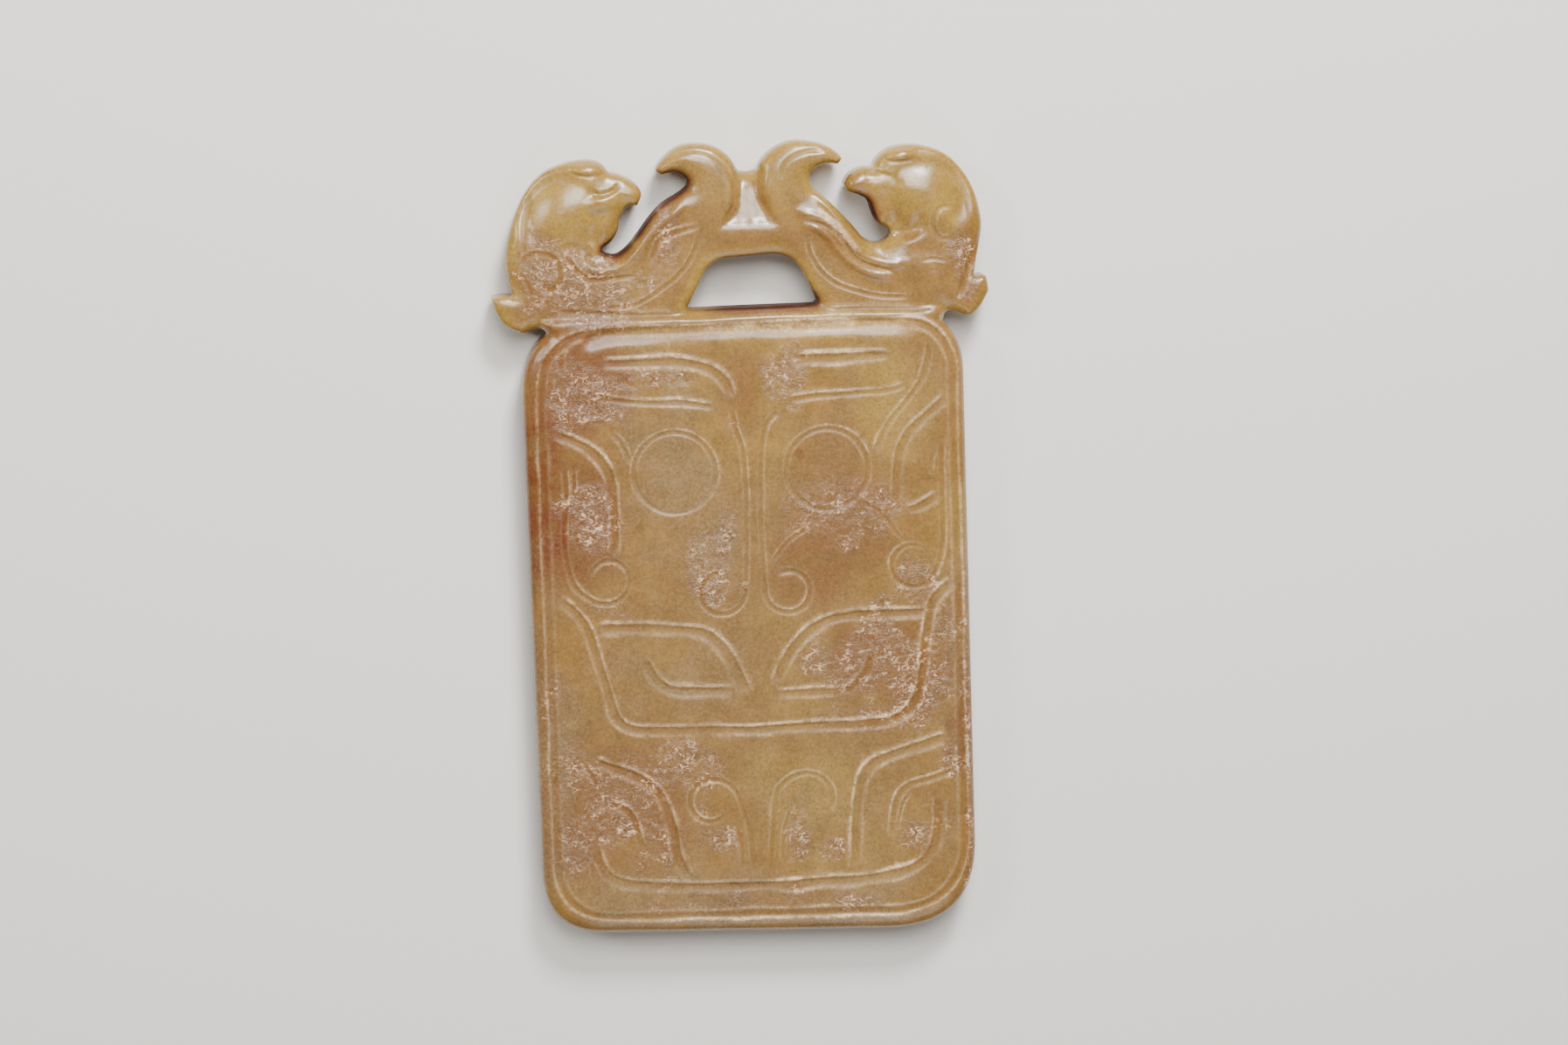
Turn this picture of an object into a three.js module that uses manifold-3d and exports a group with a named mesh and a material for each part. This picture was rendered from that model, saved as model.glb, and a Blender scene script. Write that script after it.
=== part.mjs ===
// A carved jade plaque lying on its flat back: a rounded slab with an incised animal mask, and on top of it
// an openwork crest of two birds, back to back, whose tails join over a cord opening and curl up as hooks.
// Millimetres. The drawing's x runs across the plaque and y up it, from the middle of its foot.
import * as THREE from "three";
import { mergeVertices } from "three/addons/utils/BufferGeometryUtils.js";
import Module from "manifold-3d";

const wasm = await Module();
wasm.setup();

// Driving dimensions
const THICKNESS = 6.5; // slab, front face to back face
const CREST_THICKNESS = 5.5; // birds and bridge, centred on the slab's depth
const SLAB_TOP = 70.6; // height of the slab's upper edge, below the birds
const SLAB_EDGE = 1.2; // worn rounding of the slab's edges
const CREST_EDGE = 0.45; // worn rounding of the openwork's edges
const OUTLINE_STEP = 1.2; // length of one facet along the crest's outline
const CUT_STEP = 2.2; // length of one facet along an incised line
const CURL_STEP = 1.25; // the same, along a tight curl
const CUT_SLOPE = 0.38; // depth of an incised line, as a share of its width
const BORDER_WIDTH = 1; // line round the slab's edge
const BORDER_OVERLAP = 0.5; // how far its straight sides run on into its corners
const SADDLE_FOOT = 81.4; // height where the polished hollow between the tail hooks begins
const SADDLE_SLOPE = THREE.MathUtils.degToRad(13); // how steeply that hollow falls back
const SADDLE_HEIGHT = 3; // of the wedge that cuts it, enough to clear the front face
const ROUND_SIDES = 20; // facets round a swelling or an eye
const ROUND_RINGS = 12; // and from its front to its back
const CORNER_FACETS = 7; // facets on a rounded corner of the slab
const SMALL_CORNER_FACETS = 4; // and of the cord opening
const JADE = { color: 0xb09a66, roughness: 0.34, metalness: 0 };

const CREST_BACK = (THICKNESS - CREST_THICKNESS) / 2;
const CREST_FRONT = CREST_BACK + CREST_THICKNESS;

// Corners of straight-sided outlines: x, y and the length that the rounding takes from each side
const SLAB = [[-25, -0.55, 7.2], [25.55, -2, 10.5], [25.3, SLAB_TOP, 7.2], [-25.4, SLAB_TOP, 8.6]];
const BORDER = [[-23.1, 1.5, 6.5], [24.2, 0.6, 9], [23.8, 69.4, 6], [-23.2, 69.4, 7.5]];
const CORD_OPENING = [[-6.35, 71.5, 0.7], [9.05, 71.6, 0.9], [6, 77.8, 2.9], [-3.45, 77.2, 2]];

// The crest's outline, clockwise from the left notch over the slab. Each row is one smooth stretch that ends
// at a corner, where the next one begins.
const CREST = [
  // left bird: nub, back and head, beak, throat and gap, tail up to the inside of its hook
  [[-21, 68.6], [-22.2, 69.2], [-22.6, 69.8], [-23.3, 69.9], [-25.2, 69.45]],
  [[-27, 70.5], [-27.9, 71.9], [-28.4, 73.6]],
  [[-27.2, 73.8], [-26.05, 73.75]],
  [[-26.5, 75.7], [-26.7, 77.8], [-26.4, 80], [-25.6, 82.5], [-24.1, 85.5], [-22.05, 87.6], [-19.7, 88.55],
    [-17.4, 88.9], [-15.6, 88.55], [-14.6, 87.4]],
  [[-13.3, 87.05], [-11.8, 86.2], [-11, 85], [-11.5, 83.7]],
  [[-12.7, 83.5], [-13.55, 82.2], [-13.8, 80.9], [-14.6, 79.65], [-15.6, 78.95], [-15.5, 78.3], [-14.2, 78],
    [-12.9, 78.75], [-11.55, 80.25], [-10.25, 81.95], [-8.7, 83.55], [-6.7, 84.8], [-5.7, 85.7], [-5.9, 86.6],
    [-7.1, 87.3], [-8.55, 87.05]],
  // the two tail hooks and the saddle between them
  [[-9.3, 87.55], [-8.4, 88.85], [-6.8, 90.05], [-4.8, 90.4], [-2.6, 90], [-1, 88.9], [0.2, 87.1]],
  [[1.1, 86.95], [2.3, 87.2]],
  [[2.8, 88.3], [4.3, 89.6], [6.3, 90.35], [8.4, 90.2], [10.5, 89.55], [11.95, 88.3], [11.45, 87.6]],
  // right bird: tail, gap and throat, beak, head and back, nub
  [[10.3, 87.7], [9, 87.25], [8.3, 86.3], [8.6, 85.1], [9.95, 83.8], [11.5, 82.2], [12.9, 80.65],
    [14.25, 79.05], [15.8, 78.4], [17.1, 79], [17.2, 80], [16, 80.7], [15.4, 81.9], [14.9, 83.3],
    [13.8, 84.05], [12.6, 84.5], [12.15, 85.3]],
  [[12.8, 86.4], [14.1, 87.05], [15.45, 87.1]],
  [[16.1, 88.2], [17.5, 89.2], [19.6, 89.5], [21.8, 89.2], [23.9, 88.3], [25.6, 86.6], [26.8, 84.6],
    [27.5, 82.4], [27.8, 80.2], [27.4, 77.6], [26.75, 74.5]],
  [[27.3, 74.3], [27.85, 74.4], [28.15, 74.25]],
  [[28.3, 73.5], [28.4, 72.6]],
  [[27.5, 71], [26.5, 69.9]],
  [[25.9, 69.8], [24.8, 70.25], [23.8, 70.4], [23.35, 70], [23.15, 69.4], [22.2, 68.6]],
];

// Low swellings on the crest: centre, half sizes across and up, and how far they stand out from it
const SWELLINGS = [
  { at: [-20.2, 82.8], half: [5.2, 5.2], rise: 0.5 }, // left head
  { at: [21.3, 83.4], half: [5.6, 5.2], rise: 0.5 }, // right head
  { at: [-20.2, 75.4], half: [4.8, 3.8], rise: 0.35 }, // left wing
  { at: [20.8, 75.6], half: [4.8, 3.8], rise: 0.35 }, // right wing
];
const SWELLING_DEPTH = 1.5; // half size of a swelling along the depth; most of it lies inside the crest
const BIRD_EYES = [[-17.3, 87.2], [18.7, 88]];
const BIRD_EYE = { half: [1.35, 0.6, 0.5], sunk: 0.1, turn: 0.12 };
const SADDLE = [[-0.3, 88], [2.6, 88], [3.4, 84.4], [4.4, SADDLE_FOOT], [-2.2, SADDLE_FOOT], [-1, 83.6]];

// Points of a curl: it runs round its centre from one angle to another, in degrees, and draws in from its
// first radius to its last
function curl(centre, from, to, firstRadius, lastRadius = firstRadius) {
  const count = Math.ceil(Math.abs(to - from) / 30);
  return Array.from({ length: count + 1 }, (_, i) => {
    const along = i / count;
    const angle = THREE.MathUtils.degToRad(from + (to - from) * along);
    const radius = lastRadius + (firstRadius - lastRadius) * (1 - along) ** 3;
    return [centre[0] + radius * Math.cos(angle), centre[1] + radius * Math.sin(angle)];
  });
}

// Two overlapping arcs that make a whole circle
function ring(centre, radius) {
  return [curl(centre, -5, 185, radius), curl(centre, 175, 365, radius)];
}

const line = (width, ...points) => ({ width, points, step: CUT_STEP });
const scroll = (width, stem, ...turn) => ({ width, points: [...stem, ...curl(...turn)], step: CURL_STEP });

// Incised lines of the mask, on the front only
const MASK_LINES = [
  // brows
  line(1.3, [-16, 65.75], [-10, 65.75], [-6.6, 65.5], [-4.4, 64.9], [-2.8, 63.9], [-1.9, 62.6], [-1.5, 61.2]),
  line(0.8, [-17.5, 62.2], [-14, 61.5], [-10.5, 61.15], [-7, 61], [-3.2, 60.2]),
  line(1.3, [5.8, 65.5], [11, 65.55], [16.6, 65.6]),
  line(0.8, [4.5, 60.8], [8, 61.25], [13.3, 61.5], [16, 61.5], [18.8, 62.2]),
  // nose, with its two nostril curls, and the line from the right nostril to the eye
  scroll(0.75, [[-1.5, 60.4], [-1.1, 57.7], [-0.4, 55.2], [-0.15, 50], [-0.3, 44]],
    [-3.4, 38.9], 10, -290, 2.9, 2.3),
  scroll(0.8, [[4, 60], [2.4, 58.2], [1.7, 55], [1.5, 50], [1.45, 45]],
    [4.5, 38.85], 170, 490, 2.9, 2.4),
  line(0.65, [2.5, 42], [4.2, 44.3], [6, 45.6], [7.8, 46.6]),
  // eyes
  ...ring([-8.3, 53], 4.65).map((points) => ({ width: 0.8, points, step: CUT_STEP })),
  ...ring([9.2, 52.8], 4.7).map((points) => ({ width: 0.8, points, step: CUT_STEP })),
  // left ear: leaf, its scroll and the short line beside the eye
  line(1.2, [-22, 58], [-19.8, 57], [-18, 55.9], [-16.5, 54.4], [-15.6, 52.5], [-15.4, 49.5], [-15.5, 43.8]),
  scroll(0.8, [[-20.9, 54.5], [-20.8, 50.5], [-21.15, 46.5], [-20.9, 42.6], [-20, 40]],
    [-16.2, 41], 225, 540, 3.2, 2.15),
  line(0.8, [-15.5, 58], [-14.2, 56.6], [-13.2, 54]),
  // right ear: outer line, leaf, scroll and the lines inside it
  line(1, [21.5, 67.3], [21.1, 65], [20.2, 62.6], [18.4, 60.2], [16.7, 58.3], [15.5, 56.2], [14.9, 54.3]),
  line(1.2, [23.1, 60.4], [20.9, 58.6], [19, 57], [17.8, 55], [17.4, 52.6], [17.2, 50], [16.8, 47.6]),
  scroll(0.8, [[22.5, 56], [22.4, 52], [22.45, 47], [22.2, 42.8]], [18.7, 41.4], -40, -320, 2.9, 2.25),
  line(0.6, [21.5, 54.8], [21.2, 53], [21.1, 51.5]),
  line(1.2, [18.2, 47.5], [20, 48.1], [22, 49.3]),
  line(0.7, [13, 49], [15, 47.8], [16.4, 46.1], [17.8, 44.2]),
  // jaw, from ear to ear below the mouth
  line(1.1, [-21.9, 38.6], [-19.6, 36.4], [-18.4, 33.8], [-17.4, 30], [-16.5, 26.4], [-15.7, 24.4],
    [-13.6, 23.2], [-8, 22.9], [0, 22.7], [8, 22.8], [13.5, 22.9], [16.8, 23.5], [18.9, 25.6],
    [19.8, 29], [20.3, 33], [21.2, 37], [23.4, 39.1]),
  // cheeks, the upper and lower line on each side
  line(1.4, [-17.5, 35.2], [-12.3, 35], [-8.2, 34.7], [-5.6, 34.2], [-3.9, 32.9], [-2.6, 31],
    [-1.5, 28.6], [-0.9, 27]),
  line(1.3, [-12.6, 31.5], [-11.7, 29.6], [-10.5, 28.2], [-9, 27.5], [-6, 27.35], [-2.4, 27.35]),
  line(1.3, [20.2, 35.7], [14, 35.7], [9.6, 35.3], [7, 34.2], [5.2, 32.6], [3.9, 30.6], [2.7, 28]),
  line(1.1, [2.8, 26.9], [7, 26.8], [10.6, 26.9], [12.4, 28], [13.5, 29.6], [14, 31.4]),
  // lower register: leaves, scrolls beside the middle line, and the frame below them
  line(1.3, [-18.6, 19.6], [-16, 18.6], [-13.2, 17.3], [-11.4, 15.7], [-10.4, 13.4], [-9.8, 10.6],
    [-9.2, 7.4], [-8, 5.4]),
  line(0.9, [-17.8, 15], [-15.2, 13.9], [-14.3, 12.6], [-13.8, 10.8], [-13.3, 8.8]),
  line(0.6, [-20, 19.8], [-18.9, 18.2], [-18.1, 16.3]),
  scroll(0.8, [[-0.45, 5.4], [-0.5, 7.5], [-0.8, 10.8], [-1.5, 13.3]], [-5.3, 14.3], 15, 330, 3.3, 2.25),
  line(0.6, [-1.85, 5.8], [-1.8, 8.5], [-2.4, 11.8]),
  scroll(0.8, [[1.4, 5.4], [1.6, 8], [1.95, 11]], [6.3, 14.4], 170, -45, 4, 2.6),
  line(0.6, [2.9, 7], [3, 9.2], [3.3, 11.4], [4, 13.3]),
  line(1.3, [22.3, 20.9], [19.6, 20], [16.6, 19.2], [13.9, 18.2], [12.5, 16.7], [11.9, 14.2],
    [11.6, 11], [11.3, 5.8]),
  line(1, [23.2, 17], [20.6, 16.2], [17.8, 15.4], [16.4, 13.9], [15.9, 11.6], [15.6, 9.3]),
  line(1.3, [-18.8, 9.4], [-18, 7], [-16.6, 5.6], [-14.5, 5], [-10.5, 4.6], [-6, 4.3], [2, 4.2], [8.4, 4.3],
    [12.4, 4.5], [16.2, 5], [18.4, 5.7], [20, 7], [20.9, 9], [21.2, 11.5], [21.3, 14]),
];

// Lines of the birds that both faces carry
const BIRD_LINES = [
  // left bird: nape, neck and tail rib, wing, lower arc, nub, hook
  line(0.8, [-24.9, 77.8], [-24.75, 79.8], [-24.3, 82.2], [-23.5, 84.3], [-22.2, 86]),
  line(0.9, [-19.9, 79.7], [-17.8, 78.2], [-16, 77.1], [-14, 76.7], [-12.4, 77.4], [-11.2, 78.8],
    [-9.9, 80.5], [-8.4, 82], [-6.6, 83.2]),
  line(0.9, [-15.4, 72.4], [-12.2, 72.7], [-10, 73.5], [-8.2, 74.9], [-6.6, 76.5], [-5.4, 78.2],
    [-4.6, 80.2]),
  line(0.9, [-25, 76.3], [-24.2, 74.8], [-23.6, 72.8], [-22.9, 71.2]),
  line(0.9, [-7.8, 88], [-6.6, 88.7], [-5.1, 88.9], [-3.6, 88.5], [-2.3, 87.5], [-1.3, 86], [-1.15, 84.2],
    [-1.6, 82.6], [-2.7, 81.5]),
  // right bird: nape, the two tail ribs, lower arc, nub, hook and its boundary
  line(0.7, [23.4, 86.4], [25, 84.9], [25.9, 83], [26.2, 80.8]),
  line(0.8, [7, 80.6], [8.9, 79.8], [10.5, 78.7], [11.7, 77.3], [12.9, 76.2], [14.4, 75.4],
    [16.5, 74.8], [19.2, 74.5]),
  line(0.8, [7, 82], [9.6, 81.2], [11.2, 79.8], [12.7, 78], [14.2, 77.1], [16.4, 76.5], [18.8, 76.2]),
  line(0.9, [6.9, 79.6], [7.8, 77.9], [8.9, 76.3], [10.3, 74.8], [12, 73.7], [15.5, 72.8], [19.2, 72.4]),
  line(1, [26.3, 78.1], [25.7, 76.2], [25.2, 74.2], [24.8, 72.3]),
  line(0.8, [9.6, 88.75], [8.2, 88.9], [6.8, 88.5], [5.8, 87.7], [5.2, 86.4]),
  line(0.9, [3.2, 86.6], [3.7, 85], [4.2, 83.4], [5.1, 82], [6.4, 80.9]),
];

// Lines of the birds on the front only: the seam over the slab, wings, feathers, wing curls and beaks
const BIRD_FRONT_LINES = [
  line(0.9, [-21.2, 71.8], [-14, 71.3], [-7.2, 70.9]),
  line(0.9, [9.9, 70.9], [15, 70.9], [21.2, 70.5]),
  line(0.8, [-19.8, 78], [-19, 76.9], [-17.8, 76], [-16.3, 75.4], [-12, 75.5]),
  line(0.8, [-10.2, 76.6], [-9.7, 78.3], [-8.9, 79.6], [-7.4, 80.5], [-5.4, 81], [-3.3, 81.3]),
  scroll(0.7, [], [-22, 76.2], 80, 330, 1.6),
  line(0.7, [20, 76.4], [21, 76.85], [22.4, 76.8], [23.4, 76.1]),
  scroll(0.7, [], [23.2, 80.75], 75, 300, 1.85),
  line(0.7, [-17.2, 85.2], [-15.8, 85.1], [-14.2, 85.7], [-13, 85.9]),
  line(0.7, [13.7, 86.4], [15.2, 86.4], [16.6, 86.2], [18, 85.8]),
];

// A closed shape through corners, each rounded over its own length
function roundedShape(corners) {
  const towards = (from, to, length) => {
    const a = new THREE.Vector2(from[0], from[1]);
    const way = new THREE.Vector2(to[0], to[1]).sub(a);
    return a.addScaledVector(way.normalize(), length);
  };
  const shape = new THREE.Shape();
  corners.forEach((corner, i) => {
    const before = corners.at(i - 1);
    const after = corners[(i + 1) % corners.length];
    const start = towards(corner, before, corner[2]);
    const end = towards(corner, after, corner[2]);
    if (i === 0) shape.moveTo(start.x, start.y);
    else shape.lineTo(start.x, start.y);
    shape.quadraticCurveTo(corner[0], corner[1], end.x, end.y);
  });
  return shape.closePath();
}

// The crest's closed outline: one spline for each stretch, in facets of about the same length
function crestShape() {
  const outline = [];
  CREST.forEach((stretch, i) => {
    const start = i === 0 ? [] : [CREST[i - 1].at(-1)];
    const spline = new THREE.SplineCurve([...start, ...stretch].map((p) => new THREE.Vector2(...p)));
    const facets = Math.max(2, Math.round(spline.getLength() / OUTLINE_STEP));
    outline.push(...spline.getSpacedPoints(facets).slice(i === 0 ? 0 : 1));
  });
  const shape = new THREE.Shape(outline);
  shape.holes.push(new THREE.Path(roundedShape(CORD_OPENING).getPoints(SMALL_CORNER_FACETS)));
  return shape;
}

// A three.js geometry as a solid that can be joined and cut
function solid(geometry) {
  geometry.deleteAttribute("normal");
  geometry.deleteAttribute("uv");
  const merged = mergeVertices(geometry, 1e-4);
  const vertProperties = merged.getAttribute("position").array;
  const triVerts = new Uint32Array(merged.index.array);
  return new wasm.Manifold(new wasm.Mesh({ numProp: 3, vertProperties, triVerts }));
}

// A shape cut from a sheet that spans two depths, with its edges rounded within its outline
function sheet(shape, back, front, edge, facets) {
  const geometry = new THREE.ExtrudeGeometry(shape, {
    depth: front - back - 2 * edge,
    curveSegments: CORNER_FACETS,
    bevelThickness: edge,
    bevelSize: edge,
    bevelOffset: -edge,
    bevelSegments: facets,
  });
  return solid(geometry.translate(0, 0, back + edge));
}

// An ellipsoid, turned about the axis that points out of the plaque
function ellipsoid(centre, half, turn = 0) {
  const geometry = new THREE.SphereGeometry(1, ROUND_SIDES, ROUND_RINGS).rotateX(Math.PI / 2);
  return solid(geometry.scale(...half).rotateZ(turn).translate(...centre));
}

// Depth of a swelling's middle, for the one on the front face
const swellingMiddle = (swelling) => CREST_FRONT + swelling.rise - SWELLING_DEPTH;

// A swelling on the front face, and the same one on the back face
function swellingPair(swelling) {
  const front = swellingMiddle(swelling);
  const half = [...swelling.half, SWELLING_DEPTH];
  return [front, THICKNESS - front].map((middle) => ellipsoid([...swelling.at, middle], half));
}

// A bird's eye: a low almond that leans towards the beak
function birdEye([x, y]) {
  const middle = [x, y, frontHeight(x, y) - BIRD_EYE.sunk];
  return ellipsoid(middle, BIRD_EYE.half, Math.sign(-x) * BIRD_EYE.turn);
}

// Height of the front face at a point of the drawing
function frontHeight(x, y) {
  if (y < SLAB_TOP) return THICKNESS;
  const heights = SWELLINGS.map((swelling) => {
    const across = (x - swelling.at[0]) / swelling.half[0];
    const up = (y - swelling.at[1]) / swelling.half[1];
    return swellingMiddle(swelling) + SWELLING_DEPTH * Math.sqrt(Math.max(0, 1 - across ** 2 - up ** 2));
  });
  return Math.max(CREST_FRONT, ...heights);
}

// The solid that cuts one incised line, of diamond section, along the front face or the back face
function cutter({ width, points, step }, front) {
  const path = new THREE.CatmullRomCurve3(
    points.map(([x, y]) => {
      const height = frontHeight(x, y);
      return new THREE.Vector3(x, y, front ? height : THICKNESS - height);
    }),
  );
  const deep = width * CUT_SLOPE;
  const section = new THREE.Shape();
  section.moveTo(deep, 0);
  section.lineTo(0, width / 2);
  section.lineTo(-deep, 0);
  section.lineTo(0, -width / 2);
  const steps = Math.max(2, Math.ceil(path.getLength() / step));
  return solid(new THREE.ExtrudeGeometry(section, { extrudePath: path, steps }));
}

// The border line inside the slab's edge: its corners, and its sides, which run on a little into them
function borderLines() {
  const corners = roundedShape(BORDER).curves.filter((curve) => curve.isQuadraticBezierCurve);
  return corners.flatMap((corner, i) => {
    const from = corner.v2;
    const to = corners[(i + 1) % corners.length].v0;
    const past = to.clone().sub(from).setLength(BORDER_OVERLAP);
    const side = [from.clone().sub(past), to.clone().add(past)];
    return [corner.getPoints(CORNER_FACETS), side].map((points) => ({
      width: BORDER_WIDTH,
      points: points.map((p) => [p.x, p.y]),
      step: points === side ? Infinity : CUT_STEP,
    }));
  });
}

// The polished hollow between the tail hooks: it falls back towards the crest's upper edge
function saddleCut() {
  const plan = new THREE.Shape(SADDLE.map((p) => new THREE.Vector2(...p)));
  const geometry = new THREE.ExtrudeGeometry(plan, { depth: SADDLE_HEIGHT, bevelEnabled: false });
  geometry.translate(0, -SADDLE_FOOT, 0).rotateX(-SADDLE_SLOPE);
  return solid(geometry.translate(0, SADDLE_FOOT, CREST_FRONT));
}

function carvedPlaque() {
  const joined = [
    sheet(roundedShape(SLAB), 0, THICKNESS, SLAB_EDGE, 3),
    sheet(crestShape(), CREST_BACK, CREST_FRONT, CREST_EDGE, 2),
    ...SWELLINGS.flatMap(swellingPair),
    ...BIRD_EYES.map(birdEye),
  ].reduce((whole, piece) => whole.add(piece));
  const border = borderLines();
  const cuts = [
    ...[...MASK_LINES, ...BIRD_LINES, ...BIRD_FRONT_LINES, ...border].map((cut) => cutter(cut, true)),
    ...[...BIRD_LINES, ...border].map((cut) => cutter(cut, false)),
    saddleCut(),
  ].reduce((whole, cut) => whole.add(cut));
  return joined.subtract(cuts);
}

// The carved solid as a mesh, with its origin below the middle of its box
function meshOf(carved) {
  const { vertProperties, triVerts } = carved.getMesh();
  const geometry = new THREE.BufferGeometry();
  geometry.setAttribute("position", new THREE.BufferAttribute(vertProperties, 3));
  geometry.setIndex(new THREE.BufferAttribute(triVerts, 1));
  geometry.computeBoundingBox();
  const middle = geometry.boundingBox.getCenter(new THREE.Vector3());
  geometry.translate(-middle.x, -middle.y, -geometry.boundingBox.min.z);
  geometry.computeVertexNormals();
  const mesh = new THREE.Mesh(geometry, new THREE.MeshStandardMaterial(JADE));
  mesh.name = "jade_plaque";
  return mesh;
}

const group = new THREE.Group();
group.add(meshOf(carvedPlaque()));

export default group;
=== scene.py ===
"""Looks of a carved jade plaque that lies on its flat back under soft studio light.

The drawing is in millimetres: u runs across the plaque, v up it from the middle of its foot. The piece is built
from it in metres, in the frame of the CAD part, with its origin under the middle of the box.
"""

import logging
import math
from dataclasses import dataclass, field
from enum import Enum

import bpy
import numpy as np
from mathutils import Matrix, Vector
from mathutils.geometry import delaunay_2d_cdt
from mathutils.kdtree import KDTree


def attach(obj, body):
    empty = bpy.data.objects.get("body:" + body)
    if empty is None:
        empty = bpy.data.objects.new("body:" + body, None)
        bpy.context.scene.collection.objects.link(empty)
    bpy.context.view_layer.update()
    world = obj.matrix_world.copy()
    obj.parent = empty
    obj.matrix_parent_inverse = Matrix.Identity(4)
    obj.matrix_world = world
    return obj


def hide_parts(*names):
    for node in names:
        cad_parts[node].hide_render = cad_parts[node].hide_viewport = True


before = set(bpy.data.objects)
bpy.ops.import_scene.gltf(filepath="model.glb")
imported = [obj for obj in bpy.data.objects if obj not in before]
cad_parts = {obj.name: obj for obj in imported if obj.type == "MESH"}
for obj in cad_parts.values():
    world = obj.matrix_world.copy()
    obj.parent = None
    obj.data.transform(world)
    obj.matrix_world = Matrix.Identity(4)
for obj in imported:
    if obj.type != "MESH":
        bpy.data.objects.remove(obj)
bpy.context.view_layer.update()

MM = 0.001
GRAIN_SEED, GRID_SEED = 11, 5
log = logging.getLogger("jade_plaque")

# Steps drawn along each stretch of a curve, before its points are spaced evenly
CURVE_STEPS = 24
# Degrees to a step of a curl
CURL_STEP = 20
# Points looked up at a time, which keeps the tables small
BLOCK = 2000
TINY = 1e-9

Points = np.ndarray
Values = np.ndarray
Colour = tuple[float, float, float, float]
Socket = bpy.types.NodeSocket


class Side(Enum):
    """The two faces of the plaque."""

    FRONT = 1
    BACK = -1


# Drawing helpers


def smooth(value: Values, low: float, high: float) -> Values:
    """Rises smoothly from 0 to 1 as values go from low to high, or falls where high is below low."""
    share = np.clip((value - low) / (high - low), 0, 1)
    return share * share * (3 - 2 * share)


def resample(path: Points, step: float) -> Points:
    """Spaces the points of a path evenly.

    Args:
        path: The points of the path.
        step: The wanted distance between points.

    Returns:
        The new points, the first and last as they were.
    """
    lengths = np.concatenate([[0.0], np.cumsum(np.hypot(*np.diff(path, axis=0).T))])
    even = np.linspace(0, lengths[-1], max(2, round(lengths[-1] / step) + 1))
    return np.column_stack([np.interp(even, lengths, path[:, axis]) for axis in (0, 1)])


def spline(points: list[tuple[float, float]], step: float) -> Points:
    """Draws a smooth curve through points.

    Args:
        points: The points that it passes through.
        step: The distance between the points of the curve.

    Returns:
        The curve's points.
    """
    given = np.asarray(points, dtype=float)
    padded = np.vstack([given[:1], given, given[-1:]])
    share = np.linspace(0, 1, CURVE_STEPS, endpoint=False)[:, None]
    pieces = []
    for before, start, end, after in zip(padded, padded[1:], padded[2:], padded[3:]):
        leave, arrive = (end - before) / 2, (after - start) / 2
        cubic = (2 * start - 2 * end + leave + arrive) * share**3
        square = (3 * end - 3 * start - 2 * leave - arrive) * share**2
        pieces.append(cubic + square + leave * share + start)
    return resample(np.vstack([*pieces, given[-1:]]), step)


def rounded(corners: list[tuple[float, float, float]], step: float) -> Points:
    """Draws a closed outline through corners that are each rounded over their own length.

    Args:
        corners: The place of each corner and the length its rounding takes from each side.
        step: The distance between the points of the outline.

    Returns:
        The outline's points, the first not repeated at the end.
    """
    places = np.asarray([corner[:2] for corner in corners], dtype=float)
    share = np.linspace(0, 1, CURVE_STEPS)[:, None]
    path = []
    for index, (place, corner) in enumerate(zip(places, corners)):
        ends = [places[index - 1] - place, places[(index + 1) % len(places)] - place]
        start, end = (place + way / np.hypot(*way) * corner[2] for way in ends)
        path.append((1 - share) ** 2 * start + 2 * share * (1 - share) * place + share**2 * end)
    return resample(closed(np.vstack(path)), step)[:-1]


def closed(loop: Points) -> Points:
    """Repeats the first point of an outline at its end."""
    return np.vstack([loop, loop[:1]])


def tangents(path: Points) -> Points:
    """Gives the direction of a path at each of its points."""
    ways = np.gradient(path, axis=0)
    return ways / np.maximum(np.hypot(*ways.T)[:, None], TINY)


def turned_left(ways: Points) -> Points:
    """Turns directions a quarter turn to the left."""
    return np.column_stack([-ways[:, 1], ways[:, 0]])


def curl(centre: tuple[float, float], start: float, end: float, first: float, last: float) -> list:
    """Draws an arc round a centre that draws in from its first radius to its last.

    Args:
        centre: The middle of the arc.
        start: The angle where it starts, in degrees.
        end: The angle where it ends, in degrees.
        first: The radius at its start.
        last: The radius that it settles to.

    Returns:
        Points of the arc.
    """
    count = math.ceil(abs(end - start) / CURL_STEP)
    drawn = []
    for along in (index / count for index in range(count + 1)):
        angle = math.radians(start + (end - start) * along)
        radius = last + (first - last) * (1 - along) ** 3
        drawn.append((centre[0] + radius * math.cos(angle), centre[1] + radius * math.sin(angle)))
    return drawn


class Nearest:
    """Finds the nearest of a path's points."""

    def __init__(self, path: Points) -> None:
        """Files the path's points by their place."""
        self.tree = KDTree(len(path))
        for index, (u, v) in enumerate(path.tolist()):
            self.tree.insert((u, v, 0.0), index)
        self.tree.balance()

    def to(self, points: Points) -> tuple[Values, Values]:
        """Gives the number of the path's point that is nearest to each point, and the distance to it."""
        found = np.reshape([self.tree.find((u, v, 0.0))[1:] for u, v in points.tolist()], (-1, 2))
        return found[:, 0].astype(int), found[:, 1]


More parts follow.
